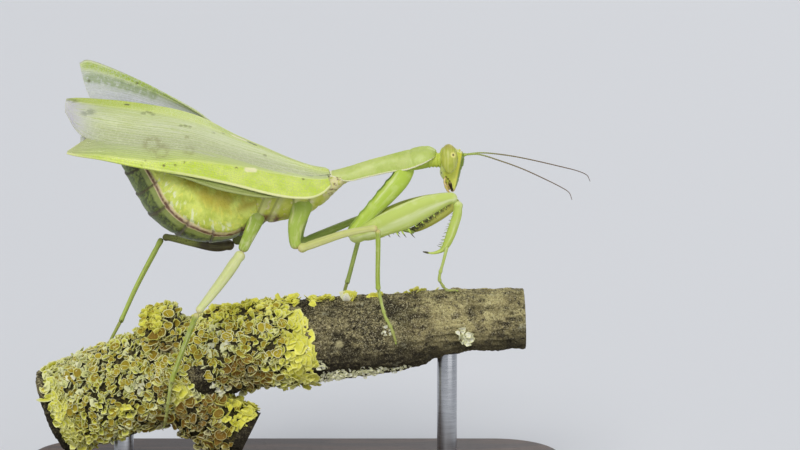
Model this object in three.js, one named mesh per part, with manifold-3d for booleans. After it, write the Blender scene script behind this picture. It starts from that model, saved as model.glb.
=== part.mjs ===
// A female giant Asian mantis (Hierodula), life size, walking along a cut branch on a display stand.
//
// Units are millimetres and +Z is up. The origin is the centre of the stand's underside, +X points the
// way the mantis walks and +Y to her left. Her body leans a little to her right, so its cross-sections
// are turned by LEAN about X. Every named part of the body is a solid of its own, parted from its
// neighbours by CLEAR.

import * as THREE from "three";
import { mergeVertices } from "three/addons/utils/BufferGeometryUtils.js";
import Module from "manifold-3d";

const wasm = await Module();
wasm.setup();

// ---------------------------------------------------------------- driving dimensions
const CLEAR = 0.1; // gap between two parts that meet
const LEAN = THREE.MathUtils.degToRad(10); // the body leans to its right
const LEFT = 1;
const RIGHT = -1;

const BASE = { length: 112, width: 66, thickness: 8, corner: 14 };
const ROD_RADIUS = 2;
const ROD_AT = [-34, 31.5]; // where the two rods stand along X
const ROD_UNCUT = 32; // reaches into the branch, which then cuts it to length
const WING_THICKNESS = 0.5;
const FEELER_RADIUS = 0.27;

// ---------------------------------------------------------------- colours
const paint = (color, roughness = 0.55) => new THREE.MeshStandardMaterial({ color, roughness });
const GREEN = paint(0x9dbb52);
const PALE_GREEN = paint(0xc3d08a);
const BELLY = paint(0xb0b24c);
const WING = paint(0xc4d873, 0.45);
const CLEAR_WING = paint(0xd5dccb, 0.35);
const EYE = paint(0xa7b556, 0.25);
const MOUTH = paint(0xcdb96a);
const HORN = paint(0x8a7a50);
const BARK = paint(0x5d5242, 0.9);
const STAND = paint(0x2e2d2b, 0.5);
const ROD = new THREE.MeshStandardMaterial({ color: 0xb9babb, roughness: 0.3, metalness: 1 });

// ---------------------------------------------------------------- vectors and tables
const at = (x, y, z) => new THREE.Vector3(x, y, z);
const ACROSS = at(0, Math.cos(LEAN), Math.sin(LEAN)); // from her right to her left
const UPRIGHT = at(0, -Math.sin(LEAN), Math.cos(LEAN)); // from her underside to her back

/** Row of a table at key x, by a smooth curve through its rows [key, value, value, ...]. */
function row(table, x) {
  const last = table.length - 1;
  const rising = table[last][0] > table[0][0];
  const past = table.findIndex((r) => (rising ? r[0] >= x : r[0] <= x));
  const hi = Math.max(1, past < 0 ? last : past);
  const lo = hi - 1;
  const slope = (i, k) => {
    const a = table[Math.max(0, i - 1)];
    const b = table[Math.min(last, i + 1)];
    return (b[k] - a[k]) / (b[0] - a[0]);
  };
  const width = table[hi][0] - table[lo][0];
  const u = (x - table[lo][0]) / width;
  return table[lo].slice(1).map((value, j) => {
    const k = j + 1;
    const rise = table[hi][k] - value;
    const start = slope(lo, k) * width;
    const end = slope(hi, k) * width;
    return value + u * start + u * u * (3 * rise - 2 * start - end + u * (start + end - 2 * rise));
  });
}

/** count numbers spread evenly from a to b, both ends included. */
const spread = (a, b, count) => Array.from({ length: count }, (_, i) => a + ((b - a) * i) / (count - 1));

// ---------------------------------------------------------------- closed bodies
/** Closed body from triangles, turned so that its faces point out. */
function body(points, index) {
  let volume = 0;
  for (let i = 0; i < index.length; i += 3) {
    const [a, b, c] = [points[index[i]], points[index[i + 1]], points[index[i + 2]]];
    volume += a.dot(at(0, 0, 0).crossVectors(b, c));
  }
  const geometry = new THREE.BufferGeometry().setFromPoints(points);
  geometry.setIndex(volume < 0 ? index.reverse() : index);
  return geometry;
}

/** Closed body through rings of points, all with the same count, with a fan over each end. */
function loft(rings) {
  const count = rings[0].length;
  const points = rings.flat();
  const index = [];
  for (let i = 0; i + 1 < rings.length; i += 1) {
    for (let j = 0; j < count; j += 1) {
      const [a, b] = [i * count + j, i * count + ((j + 1) % count)];
      index.push(a, b, b + count, a, b + count, a + count);
    }
  }
  for (const [ring, turn] of [[0, false], [rings.length - 1, true]]) {
    const middle = rings[ring].reduce((sum, p) => sum.add(p), at(0, 0, 0)).divideScalar(count);
    points.push(middle);
    for (let j = 0; j < count; j += 1) {
      const [a, b] = [ring * count + j, ring * count + ((j + 1) % count)];
      index.push(points.length - 1, turn ? a : b, turn ? b : a);
    }
  }
  return body(points, index);
}

/** Ellipse of points round a centre, with half-axes a along side and b along up. */
function ellipse(centre, side, up, a, b, sides) {
  return spread(0, 2 * Math.PI, sides + 1).slice(0, sides).map((angle) =>
    centre.clone().addScaledVector(side, a * Math.cos(angle)).addScaledVector(up, b * Math.sin(angle)));
}

/**
 * Round-ended limb along a smooth path. Each joint is [point, radius, flat], where flat is the width
 * across over the height, and grow makes it thicker all over.
 */
function limb(joints, { across = ACROSS, sides = 8, steps = 6, grow = 0 } = {}) {
  const curve = new THREE.CatmullRomCurve3(joints.map((joint) => joint[0]), false, "centripetal");
  const table = joints.map(([, radius, flat = 1], i) => [i / (joints.length - 1), radius, flat]);
  const length = curve.getLength();
  const [first, last] = [table[0][1] / length, table.at(-1)[1] / length];
  const middle = spread(first, 1 - last, steps).map((u) => [u, 1]);
  const stations = [[0, 0.45], [first * 0.35, 0.8], ...middle, [1 - last * 0.35, 0.8], [1, 0.45]];
  const rings = stations.map(([u, shrink]) => {
    const [radius, flat] = row(table, curve.getUtoTmapping(u));
    const forward = curve.getTangentAt(u);
    const up = at(0, 0, 0).crossVectors(forward, across).normalize();
    const side = at(0, 0, 0).crossVectors(up, forward);
    const [a, b] = [radius * flat * shrink + grow, radius * shrink + grow];
    const reach = u === 0 ? -grow : u === 1 ? grow : 0;
    return ellipse(curve.getPointAt(u).addScaledVector(forward, reach), side, up, a, b, sides);
  });
  return loft(rings);
}

/** Sheet of even thickness over a grid of points. */
function sheet(grid, thickness) {
  const [rows, columns] = [grid.length, grid[0].length];
  const step = (i, most) => [Math.max(0, i - 1), Math.min(most - 1, i + 1)];
  const faces = [1, -1].map((way) => grid.map((line, i) => line.map((point, j) => {
    const [i0, i1] = step(i, rows);
    const [j0, j1] = step(j, columns);
    const along = grid[i1][j].clone().sub(grid[i0][j]);
    const over = grid[i][j1].clone().sub(grid[i][j0]);
    return point.clone().addScaledVector(along.cross(over).normalize(), (way * thickness) / 2);
  })));
  const id = (face, i, j) => (face * rows + i) * columns + j;
  const index = [];
  const quad = (a, b, c, d) => index.push(a, b, c, a, c, d);
  for (let i = 0; i + 1 < rows; i += 1) {
    for (let j = 0; j + 1 < columns; j += 1) {
      quad(id(0, i, j), id(0, i + 1, j), id(0, i + 1, j + 1), id(0, i, j + 1));
      quad(id(1, i, j), id(1, i, j + 1), id(1, i + 1, j + 1), id(1, i + 1, j));
    }
  }
  for (let i = 0; i + 1 < rows; i += 1) {
    quad(id(0, i, 0), id(1, i, 0), id(1, i + 1, 0), id(0, i + 1, 0));
    quad(id(0, i + 1, columns - 1), id(1, i + 1, columns - 1), id(1, i, columns - 1), id(0, i, columns - 1));
  }
  for (let j = 0; j + 1 < columns; j += 1) {
    quad(id(0, 0, j + 1), id(1, 0, j + 1), id(1, 0, j), id(0, 0, j));
    quad(id(0, rows - 1, j), id(1, rows - 1, j), id(1, rows - 1, j + 1), id(0, rows - 1, j + 1));
  }
  return body(faces.flat(2), index);
}

/** Four-sided spine from its root to its point. */
function spine(root, point, radius) {
  const along = point.clone().sub(root).normalize();
  const aside = Math.abs(along.y) < 0.8 ? at(0, 1, 0) : at(1, 0, 0);
  const side = at(0, 0, 0).crossVectors(along, aside).normalize();
  const up = at(0, 0, 0).crossVectors(along, side);
  return loft([ellipse(root, side, up, radius, radius, 4), ellipse(point, side, up, 0.12, 0.12, 4)]);
}

// ---------------------------------------------------------------- joins and cuts
function toSolid(geometry) {
  const bare = geometry.clone();
  bare.deleteAttribute("normal");
  bare.deleteAttribute("uv");
  const merged = mergeVertices(bare, 1e-5);
  const vertProperties = merged.attributes.position.array;
  return new wasm.Manifold(new wasm.Mesh({ numProp: 3, vertProperties, triVerts: merged.index.array }));
}

/** The largest piece of a solid, as a geometry. */
function toGeometry(solid) {
  const pieces = solid.decompose().sort((a, b) => b.volume() - a.volume());
  const { vertProperties, triVerts } = pieces[0].getMesh();
  const geometry = new THREE.BufferGeometry();
  geometry.setAttribute("position", new THREE.BufferAttribute(vertProperties, 3));
  return geometry.setIndex(new THREE.BufferAttribute(triVerts, 1));
}

const join = (...parts) => toGeometry(parts.map(toSolid).reduce((sum, solid) => sum.add(solid)));
const cut = (part, ...tools) =>
  toGeometry(tools.map(toSolid).reduce((rest, tool) => rest.subtract(tool), toSolid(part)));

const model = new THREE.Group();

/** Adds one named sub-part. */
function add(group, name, geometry, material) {
  const mesh = new THREE.Mesh(geometry, material);
  mesh.name = name;
  group.add(mesh);
  return mesh;
}

// ---------------------------------------------------------------- stand and perch
// The branch rises towards the head and carries the stump of a fork low on its left half.
const BRANCH = [
  [at(-48, 0.5, 21), 9.1],
  [at(-44.5, 0.5, 22.4), 9.3],
  [at(-33.6, 0, 26.4), 9.7],
  [at(-23.5, -0.4, 30.2), 9.9],
  [at(-12, -0.3, 34.3), 8.9],
  [at(2, 0, 35.8), 8.9],
  [at(12, 0.2, 36.7), 8.3],
  [at(21.2, 0.2, 37.6), 8],
  [at(32, 0, 39.8), 6.7],
  [at(42, -0.2, 40.4), 6.3],
  [at(47, -0.2, 40.6), 6.2],
];
const FORK = [
  [at(-23, -1.5, 27.5), 7],
  [at(-17.5, -2.2, 21.8), 6.4],
  [at(-12.5, -2.6, 18.6), 6],
  [at(-8.5, -2.8, 16.6), 5.9],
];

/** Branch length with flat sawn ends. */
function sawn(path, sides, steps, grow = 0) {
  const curve = new THREE.CatmullRomCurve3(path.map((joint) => joint[0]), false, "centripetal");
  const table = path.map(([, radius], i) => [i / (path.length - 1), radius]);
  return loft(spread(0, 1, steps).map((u) => {
    const [radius] = row(table, curve.getUtoTmapping(u));
    const forward = curve.getTangentAt(u);
    const up = at(0, 0, 0).crossVectors(forward, at(0, 1, 0)).normalize();
    const reach = u === 0 ? -grow : u === 1 ? grow : 0;
    const centre = curve.getPointAt(u).addScaledVector(forward, reach);
    return ellipse(centre, at(0, 1, 0), up, radius + grow, radius + grow, sides);
  }));
}

const perch = (grow = 0) => join(sawn(BRANCH, 14, 15, grow), sawn(FORK, 10, 4, grow));

function buildStand() {
  const stand = new THREE.Group();
  const { length, width, thickness, corner } = BASE;
  const [x, y] = [length / 2 - corner, width / 2 - corner];
  const outline = new THREE.Shape();
  outline.absarc(x, y, corner, 0, Math.PI / 2);
  outline.absarc(-x, y, corner, Math.PI / 2, Math.PI);
  outline.absarc(-x, -y, corner, Math.PI, 1.5 * Math.PI);
  outline.absarc(x, -y, corner, 1.5 * Math.PI, 2 * Math.PI);
  const extrusion = { depth: thickness, bevelEnabled: false, curveSegments: 5 };
  const slab = new THREE.ExtrudeGeometry(outline, extrusion);
  add(stand, "stand_base", slab, STAND);
  const clearance = perch(CLEAR);
  ROD_AT.forEach((rodX, i) => {
    const rod = new THREE.CylinderGeometry(ROD_RADIUS, ROD_RADIUS, ROD_UNCUT, 12);
    rod.rotateX(Math.PI / 2);
    rod.translate(rodX, 0, thickness + CLEAR + ROD_UNCUT / 2);
    const trimmed = cut(rod, clearance);
    add(stand, i === 0 ? "stand_rod_left" : "stand_rod_right", trimmed, ROD);
  });
  add(stand, "perch_branch", perch(), BARK);
  return stand;
}

// ---------------------------------------------------------------- trunk
// Pronotum: x, height of its ridge, half-width, height of the arch over its side edges.
const PRONOTUM = [
  [7.4, 70, 0.6, 0.4],
  [8.2, 70.25, 1.2, 0.8],
  [9.6, 70.55, 1.9, 1.5],
  [11.8, 71.1, 2.4, 2.3],
  [15.6, 72.3, 2.05, 2.8],
  [20.6, 73.65, 2.05, 3],
  [23.3, 74.35, 2.7, 2.75],
  [25.9, 75.05, 3.35, 2.3],
  [27.8, 75.1, 2.75, 1.7],
  [29.2, 74.3, 1.5, 0.6],
];
const SHELL = 0.6; // thickness of the pronotum's plate

/** Cross-section at x between two arches: each is [half-width, ridge height, arch height]. */
function arched(x, top, bottom, count = 6) {
  const arc = ([half, ridge, rise], from, to) => spread(from, to, count).map((angle) =>
    at(x, 0, ridge)
      .addScaledVector(ACROSS, half * Math.cos(angle))
      .addScaledVector(UPRIGHT, rise * (Math.sin(angle) - 1)));
  const under = arc(bottom, Math.PI * 0.97, Math.PI * 0.03);
  return [...arc(top, 0, Math.PI), ...under];
}

function pronotumPlate(grow = 0) {
  const [rear, front] = [PRONOTUM[0][0], PRONOTUM.at(-1)[0]];
  return loft(spread(rear - grow, front + grow, 13).map((x) => {
    const [ridge, half, rise] = row(PRONOTUM, x);
    const shell = Math.min(SHELL, rise) + grow;
    const over = [half + grow, ridge + grow, rise + 2 * grow];
    return arched(x, over, [half - shell * 0.4, ridge - shell, rise - shell + grow]);
  }));
}

/** Soft forebody under the pronotum: x, depth of its belly under the plate's side edges. */
const FOREBODY = [
  [9.4, 0.2],
  [13, 0.35],
  [19, 0.4],
  [22.5, 1.1],
  [25.5, 1.6],
  [27.6, 1.7],
];

function forebody(grow = 0) {
  const [rear, front] = [FOREBODY[0][0], FOREBODY.at(-1)[0]];
  return loft(spread(rear - grow, front + grow, 10).map((x) => {
    const [ridge, half, rise] = row(PRONOTUM, x);
    const [depth] = row(FOREBODY, x);
    const shell = SHELL + CLEAR * 2.5;
    const inner = half - shell * 0.4 - CLEAR;
    const belly = [inner * 0.9 + grow, ridge - rise - depth - grow, -depth - 0.3];
    return arched(x, [inner + grow, ridge - shell + grow, rise - shell], belly);
  }));
}

// Middle and hind thorax: x, height of its axis, half-width, half-height.
const THORAX = [
  [10.4, 68.2, 1.4, 1.1],
  [9, 67.6, 2.2, 1.9],
  [7.2, 66.5, 3.1, 2.5],
  [5.2, 65.8, 3.7, 3.2],
  [2.6, 65.4, 4.1, 4],
  [-1.2, 65.3, 4.4, 4.6],
  [-4.2, 65.3, 4.4, 4.8],
  [-6.5, 65.6, 4.1, 4.5],
];

function thorax(grow = 0) {
  const [front, rear] = [THORAX[0][0], THORAX.at(-1)[0]];
  return loft(spread(front + grow, rear - grow, 10).map((x) => {
    const [z, a, b] = row(THORAX, x);
    return ellipse(at(x, 0, z), ACROSS, UPRIGHT, a + grow, b + grow, 12);
  }));
}

// Axis of the abdomen and its half-height, swollen with eggs and curved up to its tip.
const ABDOMEN = [
  [at(-6.6, 0, 65.7), 4.5],
  [at(-8.8, 0, 65), 5.5],
  [at(-11.6, 0, 64.3), 7.3],
  [at(-15, 0, 64.1), 8.2],
  [at(-18.7, 0, 64.6), 8.2],
  [at(-22.2, 0, 66.3), 7.7],
  [at(-25.6, 0, 69.2), 6.4],
  [at(-28.3, 0, 71.5), 5],
  [at(-31, 0, 73.8), 3.5],
  [at(-33.2, 0, 75.6), 2],
  [at(-34.6, 0, 76.7), 0.7],
];
const ABDOMEN_WIDTH = 0.87; // width over height
const SEGMENT_ENDS = [0, 0.2, 0.355, 0.495, 0.625, 0.75, 0.865, 1];
const SWELL = 0.03; // how far a segment bulges between its seams

/** One segment of the abdomen, between two places on its axis. */
function abdomenSegment(from, to, grow = 0) {
  const curve = new THREE.CatmullRomCurve3(ABDOMEN.map((joint) => joint[0]), false, "centripetal");
  const table = ABDOMEN.map(([, radius], i) => [i / (ABDOMEN.length - 1), radius]);
  const gap = CLEAR / 2 / curve.getLength();
  return loft(spread(0, 1, 3).map((share) => {
    const u = THREE.MathUtils.lerp(from + gap, to - gap, share);
    const [radius] = row(table, curve.getUtoTmapping(u));
    const size = radius * (1 + SWELL * Math.sin(Math.PI * share)) + grow;
    const up = at(0, 0, 0).crossVectors(curve.getTangentAt(u), ACROSS).normalize();
    return ellipse(curve.getPointAt(u), ACROSS, up, size * ABDOMEN_WIDTH, size, 15);
  }));
}

// ---------------------------------------------------------------- head
// Height, place of the axis along X, half-thickness front to back, half-width.
const HEAD = [
  [66.5, 32.7, 0.45, 0.75],
  [67.5, 32.6, 0.95, 1.15],
  [69.3, 32.35, 1.65, 1.85],
  [71, 32.15, 2.15, 2.45],
  [73.1, 32.35, 2.4, 2.85],
  [74.5, 32, 1.9, 2.75],
  [75.3, 31.7, 1.1, 2.1],
  [75.7, 31.6, 0.4, 1.2],
];
const EYE_AT = { x: 31.7, out: 2.7, z: 72.7 };
const EYE_SIZE = { along: 1.65, out: 1.5, up: 2.95 };
const FEELER_ROOT = { x: 34.6, out: 0.8, z: 73.6 };

function headCapsule() {
  return loft(spread(HEAD[0][0], HEAD.at(-1)[0], 9).map((z) => {
    const [x, thick, half] = row(HEAD, z);
    return ellipse(at(x, 0, z), at(1, 0, 0), ACROSS, thick, half, 12);
  }));
}

function eye(side, grow = 0) {
  const ball = new THREE.SphereGeometry(1, 10, 7);
  ball.scale(EYE_SIZE.along + grow, EYE_SIZE.out + grow, EYE_SIZE.up + grow);
  ball.rotateX(side * THREE.MathUtils.degToRad(8) + LEAN);
  const middle = at(EYE_AT.x, 0, EYE_AT.z).addScaledVector(ACROSS, side * EYE_AT.out);
  return ball.translate(middle.x, middle.y, middle.z);
}

const FEELERS = {
  [RIGHT]: [at(37.7, -2, 73.7), at(44.7, -5, 71.8), at(51, -7.6, 69.3), at(55.9, -9.6, 66)],
  [LEFT]: [at(38.2, 2, 73.7), at(47.8, 5, 71.9), at(56, 7.5, 69.7), at(60.9, 9, 67)],
};

function feeler(side) {
  const { x, out, z } = FEELER_ROOT;
  const root = at(x - 0.6, 0, z).addScaledVector(ACROSS, side * out);
  const socket = at(x + 0.7, 0, z + 0.1).addScaledVector(ACROSS, side * out * 1.1);
  const thread = FEELERS[side].map((point) => [point, FEELER_RADIUS]);
  return limb([[root, 0.42], [socket, 0.36], ...thread], { sides: 5, steps: 9 });
}

/** Jaws and lower lip in one, with a palp on each side. */
function mouthparts() {
  const jaw = [[at(31.4, 0, 69.2), 0.8, 1.3], [at(31.2, 0, 67.4), 0.95, 1], [at(31.9, 0, 65.9), 0.5, 1.1]];
  const jaws = limb(jaw, { sides: 6, steps: 3 });
  const palps = [LEFT, RIGHT].map((side) => {
    const [root, bend, end] = [at(30.8, side * 0.8, 68.2), at(30.6, side * 1.3, 66.6), at(31.4, side * 0.9, 65.4)];
    return limb([[root, 0.3], [bend, 0.3], [end, 0.28]], { sides: 5, steps: 2 });
  });
  return join(jaws, ...palps);
}

// ---------------------------------------------------------------- wings
// The closed wings lie on one arched deck, between its right and its left edge.
// x, then y and z of the right edge, then y and z of the left edge, then the height of the arch.
const DECK = [
  [9, -4.6, 67.9, 3, 69.2, 1.2],
  [7, -6.2, 66.4, 4.4, 69.3, 1.8],
  [4, -8, 65.7, 6, 69.9, 2.3],
  [-2, -9.4, 66.3, 7.4, 71.9, 2.4],
  [-11, -10, 68.6, 6.8, 76, 2.4],
  [-19, -10, 70.3, 6.2, 80.1, 2.3],
  [-30, -9, 72, 6, 82.6, 2.1],
  [-39, -7.6, 73.9, 5.5, 83.5, 1.8],
  [-46, -6, 75.2, 4.6, 83.8, 1.5],
];

/** Point on the deck: x, share of the way from its right to its left edge, height over it. */
function deck(x, share, lift) {
  const [y0, z0, y1, z1, arch] = row(DECK, x);
  const over = at(0, y1 - y0, z1 - z0);
  const normal = at(0, z0 - z1, y1 - y0).normalize();
  const rise = 4 * arch * share * (1 - share) + lift;
  return at(x, y0, z0).addScaledVector(over, share).addScaledVector(normal, rise);
}

// Outlines on the deck, from root to tip, as [x, share]: costal edge and inner edge of each wing.
const FOREWING = {
  [RIGHT]: {
    lift: 0,
    costal: [[8.4, 0.04], [5, 0], [-6, 0], [-20, 0], [-34, 0], [-41, 0.01], [-43.4, 0.05]],
    inner: [[6.9, 0.42], [2, 0.58], [-8, 0.66], [-20, 0.68], [-31, 0.6], [-38.8, 0.36], [-43.2, 0.1]],
  },
  [LEFT]: {
    lift: 0.8,
    costal: [[6.6, 0.97], [3, 1], [-6, 1], [-20, 1], [-34, 1], [-42, 0.99], [-44.7, 0.93]],
    inner: [[6.9, 0.55], [1, 0.4], [-10, 0.33], [-22, 0.28], [-33, 0.27], [-41.5, 0.4], [-44.9, 0.82]],
  },
};
const RIGHT_HINDWING = {
  lift: -0.8,
  costal: [[3.5, 0.16], [-3, 0.0], [-12, -0.07], [-20, -0.03], [-30, 0.06], [-38, 0.14], [-41, 0.2]],
  inner: [[3.5, 0.45], [-4, 0.55], [-12, 0.6], [-20, 0.62], [-29, 0.58], [-37, 0.42], [-40.8, 0.26]],
};

const DECK_WIDTH = 15; // about, from its right to its left edge

/** Smooth curve through [x, share] pairs, as a function of the way along it. */
function edge(pairs) {
  const points = pairs.map(([x, share]) => at(x, share * DECK_WIDTH, 0));
  const curve = new THREE.CatmullRomCurve3(points, false, "centripetal");
  return (u) => {
    const point = curve.getPoint(u);
    return [point.x, point.y / DECK_WIDTH];
  };
}

function foldedWing({ lift, costal, inner }) {
  const [outer, rear] = [edge(costal), edge(inner)];
  return sheet(spread(0, 1, 13).map((u) => {
    const [[x0, s0], [x1, s1]] = [outer(u), rear(u)];
    return spread(0, 1, 5).map((v) =>
      deck(THREE.MathUtils.lerp(x0, x1, v), THREE.MathUtils.lerp(s0, s1, v), lift));
  }), WING_THICKNESS);
}

// The left hindwing stands up behind the left forewing and passes under its edge.
const RAISED_EDGE = [at(3, 4.6, 69.7), at(-6, 6.9, 73.6), at(-14, 7.8, 77.9), at(-19.5, 8.1, 81.7),
  at(-26, 8.7, 85.4), at(-34, 9.4, 89.2), at(-41.2, 9.6, 92), at(-43.5, 9.5, 91.9)];
const RAISED_BEND = [at(2.6, 0.9, -1), at(-6, 0.98, -1.2), at(-14, 1.02, -1.3), at(-20, 1.05, -1.2),
  at(-27, 1.06, -1), at(-34, 1.06, -0.8), at(-39.3, 1.06, -0.6), at(-41, 1.06, -0.5)];
const RAISED_INNER = [at(1.2, 0.72, -1.3), at(-7, 0.64, -1.9), at(-14, 0.62, -2.1), at(-20, 0.62, -2.2),
  at(-26, 0.64, -2.1), at(-31, 0.68, -1.9), at(-35.5, 0.76, -1.6), at(-37.5, 0.84, -1.4)];

function raisedWing() {
  const path = (points) => new THREE.CatmullRomCurve3(points, false, "centripetal");
  const [top, bend, inner] = [RAISED_EDGE, RAISED_BEND, RAISED_INNER].map(path);
  const onDeck = ({ x, y, z }) => deck(x, y, z);
  return sheet(spread(0, 1, 13).map((u) => {
    const across = path([top.getPoint(u), onDeck(bend.getPoint(u)), onDeck(inner.getPoint(u))]);
    return spread(0, 1, 6).map((v) => across.getPoint(v));
  }), WING_THICKNESS);
}

// ---------------------------------------------------------------- legs
// Each piece of a leg is a list of joints, [point, radius, width over height], from body to foot.
const FORELEGS = {
  [RIGHT]: {
    coxa: [[at(24.2, -1.6, 71.6), 1.5, 0.9], [at(22, -2.5, 68.3), 1.75, 0.85], [at(16.5, -3.4, 62.6), 1.4, 0.85],
      [at(13, -4.2, 58.7), 1.15, 0.9], [at(12, -4.5, 57.4), 1, 0.9]],
    femur: [[at(12, -4.6, 57.3), 1, 0.9], [at(14.2, -4.8, 58.1), 1.45, 0.8], [at(18, -5, 59.6), 2.2, 0.58],
      [at(22.6, -5.3, 61.5), 2.65, 0.5], [at(27.4, -5.6, 63.8), 2.25, 0.52], [at(31.4, -5.9, 65.4), 1.3, 0.75],
      [at(33.3, -6, 65.7), 1.05, 0.85]],
    tibia: [[at(33.5, -6, 65), 0.85, 0.9], [at(33.3, -5.9, 62.4), 0.95, 0.8], [at(32.7, -5.7, 60.3), 1, 0.75],
      [at(31.9, -5.5, 57.9), 0.95, 0.75], [at(31, -5.2, 55.7), 0.75, 0.8], [at(30.2, -5, 54.9), 0.6, 0.9],
      [at(28.2, -4.8, 54.5), 0.4, 0.9], [at(26.4, -4.6, 54.7), 0.26]],
    tarsus: [[at(31.3, -6.1, 55.9), 0.34], [at(30.6, -5.8, 53), 0.3], [at(29.8, -4.9, 49.5), 0.32],
      [at(30.3, -4.1, 48.1), 0.3], [at(31.4, -2.8, 46.7), 0.3], [at(33.2, -1.8, 46.5), 0.27]],
  },
  [LEFT]: {
    coxa: [[at(24, 1.8, 71.6), 1.5, 0.9], [at(21.8, 2.6, 68), 1.75, 0.85], [at(16.3, 2.9, 62.1), 1.4, 0.85],
      [at(12.8, 3.2, 58.2), 1.15, 0.9], [at(11.9, 3.4, 57), 1, 0.9]],
    femur: [[at(11.9, 3.5, 56.9), 1, 0.9], [at(14, 3.7, 57.7), 1.45, 0.8], [at(17.8, 3.9, 59.2), 2.2, 0.58],
      [at(22.6, 4.1, 61.2), 2.65, 0.5], [at(27.6, 4.3, 63.1), 2.25, 0.52], [at(31.6, 4.5, 64.2), 1.25, 0.75],
      [at(33.5, 4.6, 64.4), 1, 0.85]],
    tibia: [[at(34, 4.5, 63.4), 0.8, 0.85], [at(31.9, 4.2, 61), 0.95, 0.7], [at(29.2, 3.9, 59), 0.95, 0.7],
      [at(26.2, 3.7, 57.3), 0.85, 0.75], [at(24.3, 3.6, 56.5), 0.65, 0.8], [at(22.6, 3.6, 56.5), 0.45, 0.9],
      [at(21.2, 3.6, 57.4), 0.26]],
    tarsus: [[at(24.9, 2.6, 56.7), 0.34], [at(22.4, 1.7, 58), 0.3], [at(18.8, 1, 59.3), 0.31],
      [at(16.4, 0.6, 59.6), 0.3], [at(14.8, 0.2, 59.2), 0.27]],
  },
};

const MIDLEGS = {
  [RIGHT]: {
    coxa: [[at(2.4, -2.6, 64.4), 1.9, 0.8], [at(1.6, -4, 60.6), 1.65, 0.8], [at(1.2, -4.7, 57), 1.15, 0.9],
      [at(1.7, -5, 55.3), 1.05, 0.95]],
    femur: [[at(1.8, -5.1, 55.3), 0.85], [at(3.4, -5.5, 55.8), 0.85], [at(6.4, -6.6, 57), 0.8],
      [at(11.2, -8.2, 58.8), 0.72], [at(16.2, -9.7, 60), 0.6], [at(17.6, -9.9, 60.1), 0.62]],
    tibia: [[at(17.7, -9.9, 59.7), 0.5], [at(17.7, -8.9, 56), 0.44], [at(17.6, -6.9, 49.6), 0.42],
      [at(17.7, -6.2, 47.2), 0.45]],
    tarsus: [[at(17.7, -6.2, 47.5), 0.36], [at(19, -7.45, 42.4), 0.3], [at(20.3, -8.7, 40), 0.32],
      [at(21.2, -8.95, 37.3), 0.3]],
  },
  [LEFT]: {
    coxa: [[at(2.6, 2.6, 64.8), 1.9, 0.8], [at(2, 4, 61), 1.65, 0.8], [at(1.4, 4.5, 57), 1.15, 0.9],
      [at(1.7, 4.6, 55.2), 1.05, 0.95]],
    femur: [[at(1.8, 4.7, 55.1), 0.85], [at(3.4, 5.2, 55.6), 0.85], [at(6.4, 6.6, 56.7), 0.8],
      [at(10.6, 8.7, 58.2), 0.72], [at(13.8, 10.6, 59.3), 0.6], [at(14.8, 11.2, 59.5), 0.62]],
    tibia: [[at(14.9, 11.2, 59.1), 0.5], [at(13.6, 10, 55.2), 0.44], [at(11.6, 7.6, 47.8), 0.42],
      [at(11.1, 6.9, 46.2), 0.45]],
    tarsus: [[at(11.15, 6.95, 46.5), 0.36], [at(9.9, 7.35, 41.9), 0.3], [at(9.2, 8.6, 39.5), 0.32],
      [at(8.9, 9.3, 36.6), 0.3]],
  },
};

const HINDLEGS = {
  [RIGHT]: {
    coxa: [[at(-5.6, -2.4, 63.6), 1.7, 0.85], [at(-7.2, -3.9, 59.6), 1.35, 0.9], [at(-8.8, -4.9, 56), 1.05, 0.95],
      [at(-9.2, -5.2, 54.7), 1, 0.95]],
    femur: [[at(-9.2, -5.3, 54.7), 0.95], [at(-10.6, -7.2, 52.8), 1.1], [at(-12.2, -10, 50.6), 1.05],
      [at(-14.6, -14, 47.7), 0.9], [at(-16.6, -16.9, 45.4), 0.68], [at(-17.1, -17.5, 44.8), 0.7]],
    tibia: [[at(-17.2, -17.4, 44.5), 0.55], [at(-20.2, -13.7, 37.3), 0.46], [at(-22.6, -11.2, 31), 0.42],
      [at(-23.1, -10.8, 29.5), 0.45]],
    tarsus: [[at(-23.1, -10.8, 29.8), 0.36], [at(-23.8, -10.25, 25.6), 0.3], [at(-24.4, -8.6, 22.3), 0.32],
      [at(-25, -6.6, 19.9), 0.3]],
  },
  [LEFT]: {
    coxa: [[at(-4.2, 2.4, 63), 1.7, 0.85], [at(-7, 4.8, 59.6), 1.35, 0.9], [at(-10.4, 5.6, 56.2), 1.05, 0.95],
      [at(-11.6, 5.7, 54.8), 1, 0.95]],
    femur: [[at(-11.7, 5.8, 54.6), 0.95], [at(-15.4, 7.2, 54), 1.1], [at(-20.5, 9.5, 54.5), 0.9],
      [at(-25.6, 12, 55.1), 0.66], [at(-26.8, 12.5, 55.1), 0.7]],
    tibia: [[at(-27, 12.5, 54.7), 0.55], [at(-31.9, 9.6, 45.6), 0.46], [at(-34.6, 7.4, 39.6), 0.42],
      [at(-35.2, 7, 38.2), 0.45]],
    tarsus: [[at(-35.15, 7, 38.5), 0.36], [at(-37.6, 6.7, 33.7), 0.3], [at(-38.6, 8.7, 30.4), 0.32],
      [at(-39.2, 9.6, 26.6), 0.3]],
  },
};

/** Two hooked claws past the end of a foot, and the foot itself. */
function foot(joints) {
  const [before, tip] = joints.slice(-2).map((joint) => joint[0]);
  const ahead = tip.clone().sub(before).normalize();
  const aside = at(0, 0, 0).crossVectors(ahead, at(0, 0, 1)).normalize();
  const claws = [-1, 1].map((way) => spine(tip.clone().addScaledVector(ahead, -0.15),
    tip.clone().addScaledVector(ahead, 0.55).addScaledVector(aside, way * 0.5), 0.16));
  return join(limb(joints, { sides: 5, steps: 3 }), ...claws);
}

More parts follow.
